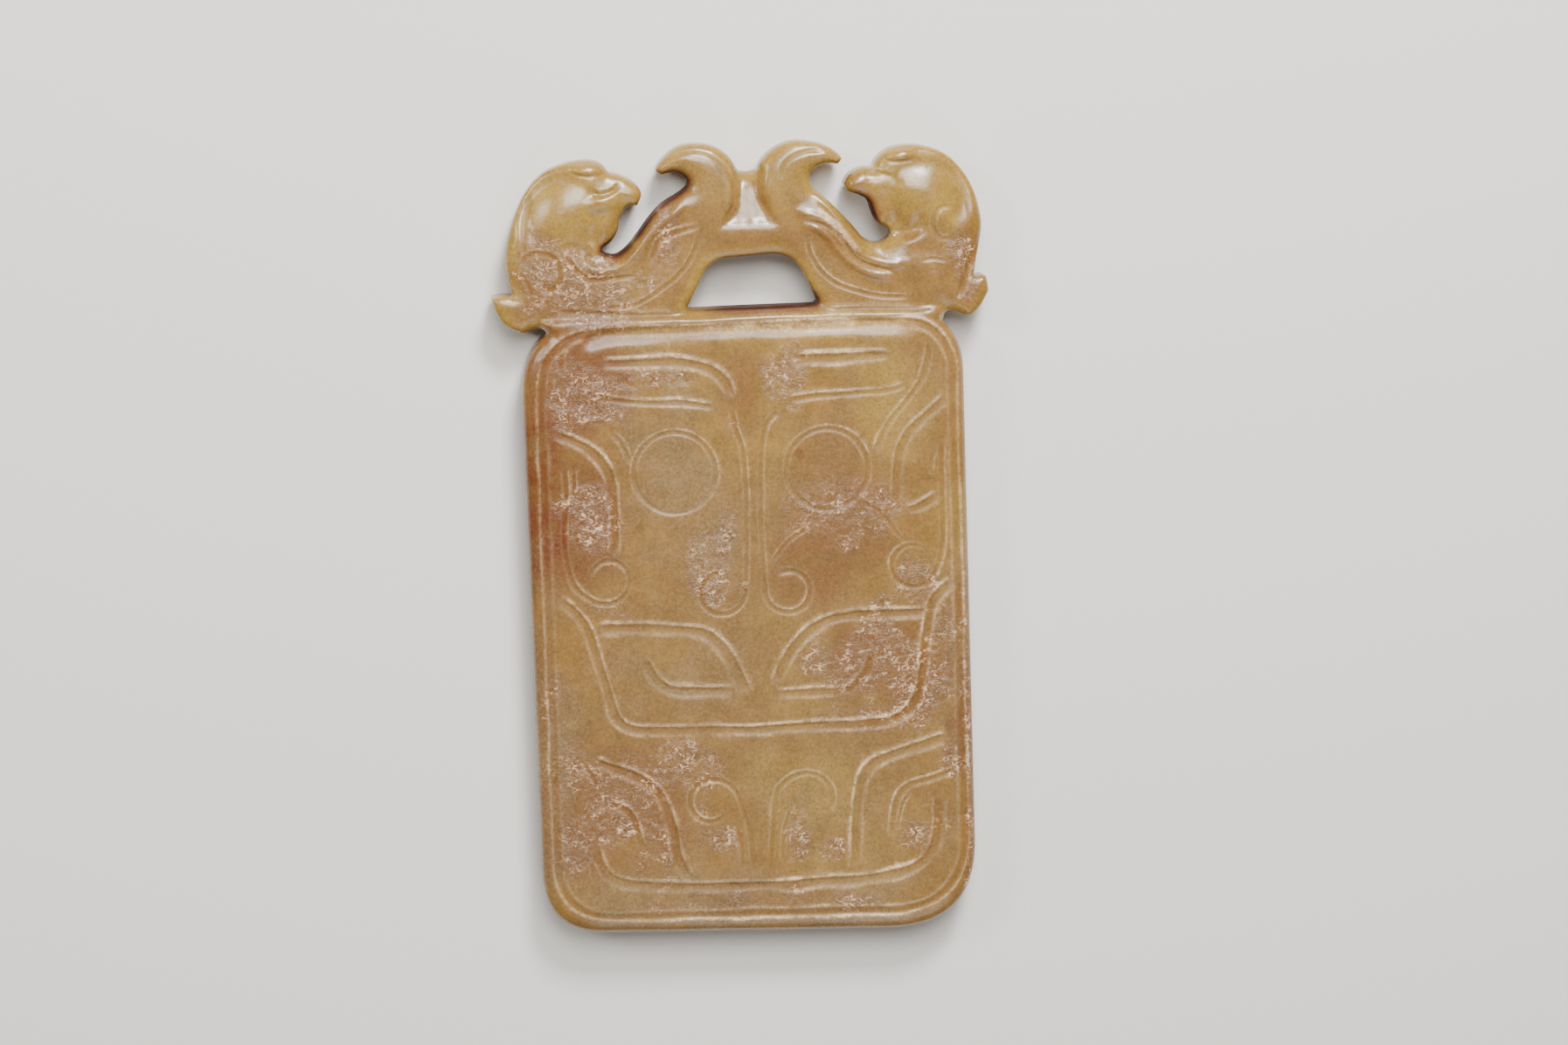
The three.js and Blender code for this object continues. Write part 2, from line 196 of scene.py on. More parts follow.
def within(points: Points, loop: Points) -> Values:
    """Tells which points lie inside a closed outline.

    Args:
        points: The points.
        loop: The outline's points.

    Returns:
        True for each point inside.
    """
    inside = np.zeros(len(points), dtype=bool)
    start, end = loop, np.roll(loop, -1, axis=0)
    rise = np.where(end[:, 1] == start[:, 1], TINY, end[:, 1] - start[:, 1])
    near = np.flatnonzero(((points >= loop.min(0)) & (points <= loop.max(0))).all(1))
    for block in np.array_split(near, len(near) // BLOCK + 1):
        u, v = points[block, 0, None], points[block, 1, None]
        crosses = (start[:, 1] > v) != (end[:, 1] > v)
        at = start[:, 0] + (v - start[:, 1]) / rise * (end[:, 0] - start[:, 0])
        inside[block] = (crosses & (u < at)).sum(1) % 2 == 1
    return inside


class Grain:
    """Smooth seeded noise over the drawing, from 0 to 1, out of a table that repeats."""

    CELLS = 251
    START = 97.3
    SHIFT = 31.7

    def __init__(self, seed: int) -> None:
        """Draws the table of random values that the noise runs through."""
        self.table = np.random.default_rng(seed).random((self.CELLS, self.CELLS))

    def at(self, points: Points, size: float) -> Values:
        """Reads the noise.

        Args:
            points: Where it is read.
            size: The distance over which it changes.

        Returns:
            The noise at each point.
        """
        place = points / size + self.START
        cell = np.floor(place).astype(int)
        across, up = smooth(place - cell, 0, 1).T
        column, row = cell.T
        low, high = (
            self.table[side % self.CELLS, row % self.CELLS] * (1 - up)
            + self.table[side % self.CELLS, (row + 1) % self.CELLS] * up
            for side in (column, column + 1)
        )
        return low * (1 - across) + high * across

    def rough(self, points: Points, size: float, octaves: int = 3) -> Values:
        """Reads layers of the noise, each finer and fainter than the one before, as their mean from 0 to 1."""
        shares = [0.5**octave for octave in range(octaves)]
        return sum(w * self.at(points + self.SHIFT * k, size * w) for k, w in enumerate(shares)) / sum(shares)


# Drawing of the plaque

# Distance between the points of a drawn line
CUT_STEP = 0.15
# How far to each side of a line, in its widths, the mesh follows it and points are looked up
CUT_SPREAD, CUT_REACH = 0.72, 1.3
# How far past the end of a line its section is lost, and where that starts
CUT_END = (0.4, 0.15)


@dataclass
class Cut:
    """One line cut by a turning wheel: a worn trough, steep on one side and sloping on the other.

    Attributes:
        width: Full width of the trough.
        points: Points that the line passes through.
        lean: Which wall is steep, seen along the line: 1 the left one, -1 the right one, 0 neither.
        deep: Depth as a share of the width.
        taper: Length over which each end runs out.
        pale: How pale its rims are: bleaching, with painted highlight along them.
        floor_bleach_and_highlight: How pale its floor is: bleaching, with painted highlight on it.
    """

    width: float
    points: list | Points
    lean: float = 0.0
    deep: float = 0.13
    taper: float = 1.3
    pale: float = 1.0
    floor_bleach_and_highlight: float = 0.0

    def __post_init__(self) -> None:
        """Draws the line once, with its directions and the length along it."""
        self.path = spline(self.points, CUT_STEP)
        self.ways = tangents(self.path)
        self.along = np.arange(len(self.path)) * np.hypot(*(self.path[1] - self.path[0]))
        self.nearest = Nearest(self.path)

    def rows(self, step: float, gap: float) -> Points:
        """Lays rows of points along the line, so that the mesh follows its walls.

        Args:
            step: Distance between points along the line.
            gap: Distance between rows.

        Returns:
            The points.
        """
        path = resample(self.path, step)
        count = math.ceil(2 * CUT_SPREAD * self.width / gap) | 1
        offsets = np.linspace(-CUT_SPREAD, CUT_SPREAD, count) * self.width
        laid = path[None] + offsets[:, None, None] * turned_left(tangents(path))[None]
        return laid.reshape(-1, 2)

    def read(self, points: Points) -> tuple[Values, Values, Values, Values]:
        """Finds where points lie in the section of the line.

        Args:
            points: The points.

        Returns:
            The indices of the points near it, their offset to the left in half widths, how fully the line is
            cut there, from 0 at its ends to 1, and how level it runs, from 0 for upright to 1.
        """
        reach = self.width * CUT_REACH
        inside = (points > self.path.min(0) - reach) & (points < self.path.max(0) + reach)
        near = np.flatnonzero(inside.all(1))
        which, distance = self.nearest.to(points[near])
        close = distance < reach
        near, which = near[close], which[close]
        offset = points[near] - self.path[which]
        across = (offset * turned_left(self.ways)[which]).sum(1) / (self.width / 2)
        past = np.abs((offset * self.ways[which]).sum(1))
        along, total = self.along[which], self.along[-1]
        full = smooth(np.minimum(along, total - along), 0, self.taper) * smooth(past, *CUT_END)
        return near, across, full, np.abs(self.ways[which, 0])

    def section(self, across: Values) -> tuple[Values, Values, Values]:
        """Works out the section of the line.

        Args:
            across: Offsets to the left, in half widths.

        Returns:
            The share of the full depth, and how near the steep wall's rim and either rim are, all from 0 to 1.
        """
        bottom, lean = 0.4 * self.lean, abs(self.lean)
        reach = np.where(across > bottom, (across - bottom) / (1 - bottom), (bottom - across) / (1 + bottom))
        shape = 0.5 + 0.5 * np.cos(np.pi * np.clip(reach, 0, 1))
        steep = np.sign(self.lean) if self.lean else 1.0
        sharp = np.exp(-(((across - steep) / 0.27) ** 2))
        gentle = np.exp(-(((across + 0.95 * steep) / 0.24) ** 2))
        # The steep wall's rim gets the stronger share: painted highlight along it, with the gentle rim fainter.
        return shape, sharp, np.maximum((0.65 + 0.35 * lean) * sharp, (0.2 + 0.25 * lean) * gentle)


def scroll(width: float, stem: list, *turn: object) -> Cut:
    """Makes a line of a stem and a curl, which has a centre, first and last angles, and first and last radii."""
    return Cut(width, [*stem, *curl(*turn)])


def ring(width: float, centre: tuple[float, float], radius: float) -> list[Cut]:
    """Makes a whole circle of two arcs that overlap at their ends, the upper one paler at its rim: painted highlight
    where light falls from above.
    """
    arcs = ((-30, 190, 0.9), (150, 370, 0.35))
    return [Cut(width, curl(centre, *ends, radius, radius), -0.1, 0.12, pale=pale) for *ends, pale in arcs]


# Corners of the slab, of its border line and of the cord opening: place and length of rounding
SLAB = [(-25, -0.55, 7.2), (25.55, -2, 10.5), (25.3, 70.6, 7.2), (-25.4, 70.6, 8.6)]
BORDER = [(-23.1, 1.5, 6.5), (24.2, 0.6, 9), (23.8, 69.4, 6), (-23.2, 69.4, 7.5)]
BORDER_WIDTH = 1.25
CORD_OPENING = [(-6.35, 71.5, 0.7), (9.05, 71.6, 0.9), (6, 77.8, 2.9), (-3.45, 77.2, 2)]

# The crest's outline, clockwise from the left notch over the slab, one smooth stretch to a row
CREST = [
    [(-21, 68.6), (-22.2, 69.2), (-22.6, 69.8), (-23.3, 69.9), (-25.2, 69.45)],
    [(-27, 70.5), (-27.9, 71.9), (-28.4, 73.6)],
    [(-27.2, 73.8), (-26.05, 73.75)],
    [(-26.5, 75.7), (-26.7, 77.8), (-26.4, 80), (-25.6, 82.5), (-24.1, 85.5), (-22.05, 87.6), (-19.7, 88.55),
     (-17.4, 88.9), (-15.6, 88.55), (-14.6, 87.4)],
    [(-13.3, 87.05), (-11.8, 86.2), (-11, 85), (-11.5, 83.7)],
    [(-12.7, 83.5), (-13.55, 82.2), (-13.8, 80.9), (-14.6, 79.65), (-15.6, 78.95), (-15.5, 78.3), (-14.2, 78),
     (-12.9, 78.75), (-11.55, 80.25), (-10.25, 81.95), (-8.7, 83.55), (-6.7, 84.8), (-5.7, 85.7), (-5.9, 86.6),
     (-7.1, 87.3), (-8.55, 87.05)],
    [(-9.3, 87.55), (-8.4, 88.85), (-6.8, 90.05), (-4.8, 90.4), (-2.6, 90), (-1, 88.9), (0.2, 87.1)],
    [(1.1, 86.95), (2.3, 87.2)],
    [(2.8, 88.3), (4.3, 89.6), (6.3, 90.35), (8.4, 90.2), (10.5, 89.55), (11.95, 88.3), (11.45, 87.6)],
    [(10.3, 87.7), (9, 87.25), (8.3, 86.3), (8.6, 85.1), (9.95, 83.8), (11.5, 82.2), (12.9, 80.65),
     (14.25, 79.05), (15.8, 78.4), (17.1, 79), (17.2, 80), (16, 80.7), (15.4, 81.9), (14.9, 83.3),
     (13.8, 84.05), (12.6, 84.5), (12.15, 85.3)],
    [(12.8, 86.4), (14.1, 87.05), (15.45, 87.1)],
    [(16.1, 88.2), (17.5, 89.2), (19.6, 89.5), (21.8, 89.2), (23.9, 88.3), (25.6, 86.6), (26.8, 84.6),
     (27.5, 82.4), (27.8, 80.2), (27.4, 77.6), (26.75, 74.5)],
    [(27.3, 74.3), (27.85, 74.4), (28.15, 74.25)],
    [(28.3, 73.5), (28.4, 72.6)],
    [(27.5, 71), (26.5, 69.9)],
    [(25.9, 69.8), (24.8, 70.25), (23.8, 70.4), (23.35, 70), (23.15, 69.4), (22.2, 68.6)],
]

# Lines of the mask on the slab
MASK_CUTS = [
    # brows
    Cut(1.4, [(-16.4, 65.75), (-10, 65.75), (-6.6, 65.5), (-4.4, 64.9), (-2.8, 63.9), (-1.9, 62.6),
        (-1.5, 61.2)], 1),
    Cut(0.9, [(-17.5, 62.2), (-14, 61.5), (-10.5, 61.15), (-7, 61), (-3.2, 60.2)], 0.5),
    Cut(1.4, [(5.4, 65.5), (11, 65.55), (17, 65.6)], 1),
    Cut(0.9, [(4.5, 60.8), (8, 61.25), (13.3, 61.5), (16, 61.5), (18.8, 62.2)], 0.5),
    # nose, with its two nostril curls, and the line from the right nostril to the eye
    scroll(0.8, [(-1.5, 60.4), (-1.1, 57.7), (-0.4, 55.2), (-0.15, 50), (-0.3, 44)],
        (-3.4, 38.9), 10, -290, 2.9, 2.3),
    scroll(0.85, [(4, 60), (2.4, 58.2), (1.7, 55), (1.5, 50), (1.45, 45)], (4.5, 38.85), 170, 490, 2.9, 2.4),
    Cut(0.7, [(2.5, 42), (4.2, 44.3), (6, 45.6), (7.8, 46.6)]),
    # eyes
    *ring(0.85, (-8.3, 53), 4.65),
    *ring(0.85, (9.2, 52.8), 4.7),
    # left ear: leaf, its scroll and the short line beside the eye
    Cut(1.3, [(-22.2, 58.1), (-19.8, 57), (-18, 55.9), (-16.5, 54.4), (-15.6, 52.5), (-15.4, 49.5),
        (-15.5, 43.4)], 1),
    scroll(0.85, [(-20.9, 54.5), (-20.8, 50.5), (-21.15, 46.5), (-20.9, 42.6), (-20, 40)],
        (-16.2, 41), 225, 540, 3.2, 2.15),
    Cut(0.9, [(-15.5, 58), (-14.2, 56.6), (-13.2, 54)]),
    Cut(0.6, [(-19.8, 54.4), (-19.75, 50.2)]),
    Cut(0.6, [(-20, 47.2), (-19.4, 43.8)]),
    # right ear: outer line, leaf, scroll and the lines inside it
    Cut(1, [(21.5, 67.3), (21.1, 65), (20.2, 62.6), (18.4, 60.2), (16.7, 58.3), (15.5, 56.2), (14.9, 54.3)], -0.4),
    Cut(1.3, [(23.3, 60.6), (20.9, 58.6), (19, 57), (17.8, 55), (17.4, 52.6), (17.2, 50), (16.8, 47.4)], -1),
    scroll(0.85, [(22.5, 56), (22.4, 52), (22.45, 47), (22.2, 42.8)], (18.7, 41.4), -40, -320, 2.9, 2.25),
    Cut(0.7, [(21.5, 54.8), (21.2, 53), (21.1, 51.5)]),
    Cut(1.3, [(17.9, 47.4), (20, 48.1), (22.3, 49.5)], 1),
    Cut(0.7, [(13, 49), (15, 47.8), (16.4, 46.1), (17.8, 44.2)]),
    # jaw, from ear to ear below the mouth
    Cut(1.3, [(-22.2, 38.9), (-19.6, 36.4), (-18.4, 33.8), (-17.4, 30), (-16.5, 26.4), (-15.7, 24.4), (-13.6, 23.2),
        (-8, 22.9), (0, 22.7), (8, 22.8), (13.5, 22.9), (16.8, 23.5), (18.9, 25.6), (19.8, 29), (20.3, 33),
        (21.2, 37), (23.6, 39.3)], 1),
    # cheeks, the upper and lower line on each side
    Cut(1.5, [(-17.9, 35.2), (-12.3, 35), (-8.2, 34.7), (-5.6, 34.2), (-3.9, 32.9), (-2.6, 31), (-1.5, 28.6),
        (-0.8, 26.8)], 1),
    Cut(1.4, [(-12.8, 31.8), (-11.7, 29.6), (-10.5, 28.2), (-9, 27.5), (-6, 27.35), (-2.1, 27.35)], 1),
    Cut(1.4, [(20.5, 35.7), (14, 35.7), (9.6, 35.3), (7, 34.2), (5.2, 32.6), (3.9, 30.6), (2.6, 27.8)], -1),
    Cut(1.2, [(2.5, 26.9), (7, 26.8), (10.6, 26.9), (12.4, 28), (13.5, 29.6), (14, 31.7)], 1),
    # lower register: leaves, scrolls beside the middle line, and the frame below them
    Cut(1.4, [(-18.9, 19.7), (-16, 18.6), (-13.2, 17.3), (-11.4, 15.7), (-10.4, 13.4), (-9.8, 10.6), (-9.2, 7.4),
        (-7.9, 5.2)], 1),
    Cut(1, [(-17.8, 15), (-15.2, 13.9), (-14.3, 12.6), (-13.8, 10.8), (-13.3, 8.8)], 0.6),
    Cut(0.6, [(-20, 19.8), (-18.9, 18.2), (-18.1, 16.3)]),
    scroll(0.85, [(-0.45, 5.2), (-0.5, 7.5), (-0.8, 10.8), (-1.5, 13.3)], (-5.3, 14.3), 15, 330, 3.3, 2.25),
    Cut(0.65, [(-1.85, 5.6), (-1.8, 8.5), (-2.4, 12)]),
    scroll(0.85, [(1.4, 5.2), (1.6, 8), (1.95, 11)], (6.3, 14.4), 170, -45, 4, 2.6),
    Cut(0.65, [(2.9, 6.8), (3, 9.2), (3.3, 11.4), (4.1, 13.5)]),
    Cut(1.4, [(22.6, 21), (19.6, 20), (16.6, 19.2), (13.9, 18.2), (12.5, 16.7), (11.9, 14.2), (11.6, 11),
        (11.3, 5.6)], -1),
    Cut(1, [(23.4, 17), (20.6, 16.2), (17.8, 15.4), (16.4, 13.9), (15.9, 11.6), (15.6, 9)], -0.6),
    Cut(0.6, [(18, 14.6), (17, 13.3), (16.4, 11.2), (16.2, 9.7)]),
    Cut(1.4, [(-18.9, 9.7), (-18, 7), (-16.6, 5.6), (-14.5, 5), (-10.5, 4.6), (-6, 4.3), (2, 4.2), (8.4, 4.3),
        (12.4, 4.5), (16.2, 5), (18.4, 5.7), (20, 7), (20.9, 9), (21.2, 11.5), (21.3, 14.3)], 1),
    # wide slope under the top border, which turns down at its left end; its floor is painted paler, a painted
    # highlight on the slope
    Cut(2.5, [(-18.6, 68), (-15, 68.8), (-8, 69.1), (-1, 69.15)], 0.8, pale=0.3, floor_bleach_and_highlight=0.12),
    Cut(2.5, [(-7, 69.1), (4, 69.2), (14, 69.2), (20.8, 68.9)], 0.8, taper=5, pale=0.3, floor_bleach_and_highlight=0.45),
    Cut(0.9, [(-19.4, 68.4), (-20.4, 67.8), (-20.8, 66.5), (-20.6, 64.8)]),
]

# Lines of the birds on the front, softer than the mask's
BIRD_CUTS = [
    # left bird: nape, mouth, under the eye, wing, feather, lower arc, hook, nub, wing scroll
    Cut(1, [(-23.3, 85.2), (-24.2, 82.7), (-24.6, 80.2), (-24.5, 78)], deep=0.14, pale=0.4),
    Cut(1.1, [(-17.2, 85.9), (-16.14, 85.1), (-15.24, 85.05), (-14.14, 85.45), (-13.2, 86.3)], 0.4,
        deep=0.3, pale=0.1),
    Cut(0.6, [(-19, 87.7), (-17.3, 87.2), (-15.4, 87.4)], deep=0.2, pale=0.2),
    Cut(0.9, [(-19.7, 78.3), (-18.94, 76.89), (-18.07, 76.05), (-17, 75.47), (-15.38, 75.41), (-11.8, 75.8)], 0.5,
        deep=0.18, pale=0.8),
    Cut(0.9, [(-10.4, 76.7), (-9.86, 78.39), (-9.19, 79.63), (-7.99, 80.32), (-6.54, 80.72), (-4.3, 81.2)], 0.4,
        pale=0.85),
    Cut(0.75, [(-15.7, 72.1), (-12.77, 72.33), (-10.94, 72.99), (-9.09, 74.2), (-7.61, 75.24), (-6.12, 76.81),
        (-5.16, 78.59), (-4.65, 80.4)], 0.3, deep=0.15, pale=0.9),
    Cut(0.7, [(-8.4, 88.3), (-7.1, 89.1), (-5.17, 89.5), (-3.3, 89.1), (-1.8, 88), (-0.95, 86.7), (-0.65, 84.94),
        (-0.85, 83.14), (-1.8, 81.7)], deep=0.14, pale=0.65),
    Cut(0.55, [(-2.6, 88), (-1.6, 86.5), (-1.25, 84.6), (-1.4, 83.2)], deep=0.12, pale=0.35),
    Cut(0.9, [(-25, 76.3), (-24.2, 74.8), (-23.6, 72.8), (-22.9, 71.2)], pale=0.5),
    Cut(0.9, [(-25, 76.9), (-24.3, 78.2), (-22.8, 78.6), (-21.2, 78.1), (-20.5, 76.7), (-20.8, 75.1), (-22.1, 74.4),
        (-23.2, 75.2)], 0.3, pale=0.8),
    # right bird: nape, beak, under the eye, cheek curl, neck, between the ribs, lower arc, hook, wing, nub,
    # and a painted highlight along the polished side of the tail
    Cut(0.8, [(24, 86.8), (25.4, 84.9), (26.2, 83), (26.5, 80.8)], deep=0.1, pale=0.25),
    Cut(1, [(14.2, 86.5), (15.2, 86.55), (16.23, 86.38), (18.1, 85.9)], 0.5, deep=0.22, pale=0.3),
    Cut(0.6, [(16.4, 88), (18.4, 87.75), (20.6, 88)], deep=0.18, pale=0.2),
    Cut(0.85, [(24.6, 82.6), (22.98, 82.39), (22.21, 81.12), (22.27, 79.83), (23.09, 78.88), (24.5, 79)], deep=0.16,
        pale=0.6),
    Cut(2.2, [(17, 79.4), (19.21, 79.56), (20.35, 80.63), (20.9, 82.3)], deep=0.14, pale=0.0),
    Cut(0.7, [(7.2, 81.4), (9.62, 80.85), (11.25, 79.65), (12.32, 78.13), (13.2, 76.9), (15, 76), (17.6, 75.3)],
        deep=0.24, pale=0.75),
    Cut(0.75, [(7.65, 79.8), (8.05, 77.54), (9.29, 75.47), (10.92, 74.11), (13.12, 73.21), (15.89, 72.46),
        (19.5, 72.25)], 0.3, deep=0.15, pale=0.9),
    Cut(0.9, [(4.9, 85.8), (5.2, 87.7), (6.52, 88.75), (8.37, 89.2), (10, 89)], deep=0.15, pale=0.6),
    Cut(0.65, [(20.4, 76.3), (21.92, 76.6), (23.03, 76.38), (23.9, 76)], deep=0.18, pale=0.5),
    Cut(0.6, [(21.3, 75.5), (22.8, 75.05)], deep=0.18, pale=0.5),
    Cut(1.2, [(27.3, 78.6), (26.8, 77.27), (26.1, 75.63), (25.5, 73.79), (24.7, 71.7)], deep=0.2, pale=0.8),
    Cut(1.5, [(8.6, 83.2), (9.9, 81.7), (11.3, 80.2), (12.7, 78.6), (13.9, 77.4)], deep=0.0, pale=0.0, floor_bleach_and_highlight=0.75),
    # seam over the slab
    Cut(1, [(-21.2, 71.8), (-14, 71.3), (-7.2, 70.9)], 0.6, pale=0.5),
    Cut(1, [(9.6, 70.9), (15, 70.9), (21.4, 70.5)], 0.6, pale=0.5),
]

# Soft ridges of the tails: the left rib, the two right ribs, and the one along the right gap
RIDGES = [
    Cut(1.5, [(-18.6, 77.1), (-16.97, 76.5), (-14.81, 76.5), (-12.97, 77.3), (-11.67, 78.45), (-10.35, 80.03),
        (-9.04, 81.62), (-7.38, 82.64), (-5.6, 84.2)], deep=0.24, taper=2.5),
    Cut(1.3, [(6.6, 81.1), (8.69, 80.5), (10.32, 79.3), (11.4, 77.7), (13.02, 76.2), (15.03, 75.1), (18, 74.5)],
        deep=0.3, taper=2.5),
    Cut(1.4, [(5.9, 82.6), (7.8, 82.1), (9.99, 81.2), (11.9, 79.6), (13.4, 77.9), (14.8, 76.9), (16.9, 76.2),
        (19.9, 76)], deep=0.28, taper=2.5),
    Cut(1, [(8.2, 84.6), (10.05, 82.9), (11.4, 81.3), (12.8, 79.5), (14, 78)], deep=0.22, taper=2),
]

# Plainer lines of the birds on the back
BACK_CUTS = [
    Cut(1, [(-24.9, 77.8), (-24.75, 79.8), (-24.3, 82.2), (-23.5, 84.3), (-22.2, 86)]),
    Cut(1, [(-19.9, 79.7), (-17.8, 78.2), (-16, 77.1), (-14, 76.7), (-12.4, 77.4), (-11.2, 78.8), (-9.9, 80.5),
        (-8.4, 82), (-6.6, 83.2)]),
    Cut(1, [(-15.4, 72.4), (-12.2, 72.7), (-10, 73.5), (-8.2, 74.9), (-6.6, 76.5), (-5.4, 78.2), (-4.6, 80.2)]),
    Cut(1, [(-25, 76.3), (-24.2, 74.8), (-23.6, 72.8), (-22.9, 71.2)]),
    Cut(1, [(-7.8, 88), (-6.6, 88.7), (-5.1, 88.9), (-3.6, 88.5), (-2.3, 87.5), (-1.3, 86), (-1.15, 84.2),
        (-1.6, 82.6), (-2.7, 81.5)]),
    Cut(1, [(23.4, 86.4), (25, 84.9), (25.9, 83), (26.2, 80.8)]),
    Cut(1, [(7, 80.6), (8.9, 79.8), (10.5, 78.7), (11.7, 77.3), (12.9, 76.2), (14.4, 75.4), (16.5, 74.8),
        (19.2, 74.5)]),
    Cut(1, [(6.9, 79.6), (7.8, 77.9), (8.9, 76.3), (10.3, 74.8), (12, 73.7), (15.5, 72.8), (19.2, 72.4)]),
    Cut(1.1, [(26.3, 78.1), (25.7, 76.2), (25.2, 74.2), (24.8, 72.3)]),
    Cut(1, [(9.6, 88.75), (8.2, 88.9), (6.8, 88.5), (5.8, 87.7), (5.2, 86.4)]),
    Cut(1, [(3.2, 86.6), (3.7, 85), (4.2, 83.4), (5.1, 82), (6.4, 80.9)]),
]

# How far noise frays a patch, and where its soft edge ends and starts, from 0 in its middle to 1 at its oval
FRAY = 1.9
SOFT_EDGE = (1.25, 0.4)
# How pointed a swelling is
DOME = 1.3


@dataclass(frozen=True)
class Patch:
    """An oval of the face with soft edges: its span across and up, and how strong it is."""

    left: float
    right: float
    low: float
    high: float
    strength: float = 1.0

    def cover(self, points: Points, wobble: Values | float) -> Values:
        """Tells how far points lie within the patch.

        Args:
            points: The points.
            wobble: Noise from 0 to 1 that frays its edge.

        Returns:
            From 0 outside the patch to its strength inside.
        """
        middle = np.array([self.left + self.right, self.low + self.high]) / 2
        half = np.array([self.right - self.left, self.high - self.low]) / 2
        out = np.sqrt((((points - middle) / half) ** 2).sum(1))
        return self.strength * smooth(out + FRAY * (wobble - 0.5), *SOFT_EDGE)


def patches(*spans: tuple[float, ...]) -> list[Patch]:
    """Makes patches, each from its span and, where it is weaker, its strength."""
    return [Patch(*span) for span in spans]


def covered(kind: list[Patch], points: Points, wobble: Values | float) -> Values:
    """Tells how strongly each point is covered by the strongest of some patches."""
    return np.max([patch.cover(points, wobble) for patch in kind], axis=0)


# Where burial has turned the stone chalky and pitted
CHALK = patches(
    (-25, -14, 58.5, 66), (-26.5, -11.5, 70, 79.5), (-22, -14, 43, 51.5), (-8, -0.5, 36, 49.5),
    (2.2, 7, 60.5, 67.2), (6, 25.5, 23.5, 36, 0.95), (23.6, 26, 4, 37, 0.9), (-24.5, -8.5, 8, 23.5, 0.8),
    (-13, -4.5, 15.5, 23), (-7, -1.5, 8, 11.4), (3, 6.6, 6, 14.6, 0.9), (7, 10, 6.8, 9.6), (-4, -1, 1.6, 5.8),
    (2.4, 6.6, 1.6, 4.8), (8, 14.6, -0.4, 3.6), (3.5, 17.5, 44, 51.4, 0.65), (16.5, 21.5, 6.5, 11.6),
    (21.6, 24.4, 14.6, 21.4), (24.2, 27.4, 72, 80), (-10, -6, 77, 83, 0.6), (-3, 0.5, 56, 61.5, 0.8),
    (17, 23, 35, 42, 0.8), (-25, -21, 24, 33, 0.5), (19, 24, 8, 16, 0.5), (-17, -4, 62.6, 65.2, 0.6),
    (-24, -8, 69.2, 72.4, 0.7), (-20, -12, 35.5, 40, 0.45), (-13, 13, 0.8, 3, 0.35),
)

# Where iron in the soil has stained the stone red-brown
STAIN = patches(
    (-31, -18.5, 38, 61, 1), (-26, -13, 40, 58, 0.72), (-26, -13, 56, 71, 0.75), (22, 31, 2, 38, 0.75),
    (6, 26, 22, 37, 0.58), (2, 19, 37, 51, 0.5), (-26, -9, 6, 24, 0.45), (4, 15, 48, 58, 0.3),
    (-16, -5, 77, 84, 0.45), (8, 18, 77, 83, 0.3), (-28, -14, 70, 79, 0.35), (24, 30, 70, 81, 0.55),
    (-6, 10, -2, 5, 0.35), (11, 15, 83, 88, 0.5), (-4, 8, 76, 81, 0.3), (5.2, 6.8, 54, 55.5, 0.75),
    (-3, 3, 56, 68, 0.4), (-27, -21.5, 20, 42, 0.35),
)

# Painted shade, with some soil, that darkens the edge where little light reaches: in the gaps under the hooks and
# round the opening
SHADE_AND_SOIL = patches(
    (-16.8, -11.5, 76, 80.4), (-13, -8, 79, 84), (-10, -4.5, 82, 88), (11.6, 18.4, 78.4, 86.4), (-9, 12, 70, 73.6),
    (-5, 12, 76.5, 79, 0.4),
)
# Where the edge takes stain and painted shade, but not the darker shade and soil of the gaps: down the sides of the
# slab
SIDE_STAIN_AND_SHADE = patches((-30, -21, 33, 62), (22, 30, -4, 42, 0.7))

# Where the stone keeps its paler, greener colour
PALE = patches(
    (-28, -12, 79, 90, 0.9), (12, 29, 79, 91, 0.9), (-10, 13, 82, 91, 0.45), (-12, 24, 66, 71, 0.4),
    (14, 25, 50, 66, 0.5), (-8, 12, 8, 22, 0.3),
)

# Where it is greyer than elsewhere
SMOKE = patches(
    (-17, 0, 35, 64, 0.75), (-18, 1, 23, 36, 0.6), (-10, 14, 5, 23, 0.6), (14, 25, 50, 68, 0.4),
    (-24, -8, -1, 8, 0.6), (-31, 31, -8, 72, 0.35), (-29, -19.5, -2, 47, 0.8), (-24, 26, -4, 7, 0.7),
    (20, 29, 2, 60, 0.5),
)


@dataclass(frozen=True)
class Swelling:
    """A low oval swelling of the crest: its middle, half sizes, rise and turn in radians."""

    middle: tuple[float, float]
    half: tuple[float, float]
    rise: float
    turn: float = 0.0

    def height(self, points: Points) -> Values:
        """Gives the rise of the swelling.

        Args:
            points: The points.

        Returns:
            Its height at each point, 0 outside it.
        """
        away = points - np.asarray(self.middle)
        cos, sin = math.cos(self.turn), math.sin(self.turn)
        across = (away[:, 0] * cos + away[:, 1] * sin) / self.half[0]
        up = (away[:, 1] * cos - away[:, 0] * sin) / self.half[1]
        return self.rise * np.clip(1 - across**2 - up**2, 0, 1) ** DOME


# The two heads, then the two wings
HEADS_AND_WINGS = [
    Swelling((-20.2, 82.8), (6, 6), 0.5), Swelling((21.3, 83.4), (6.4, 6), 0.5),
    Swelling((-20.2, 75.4), (5.4, 4.4), 0.3), Swelling((20.8, 75.6), (5.4, 4.4), 0.3),
]
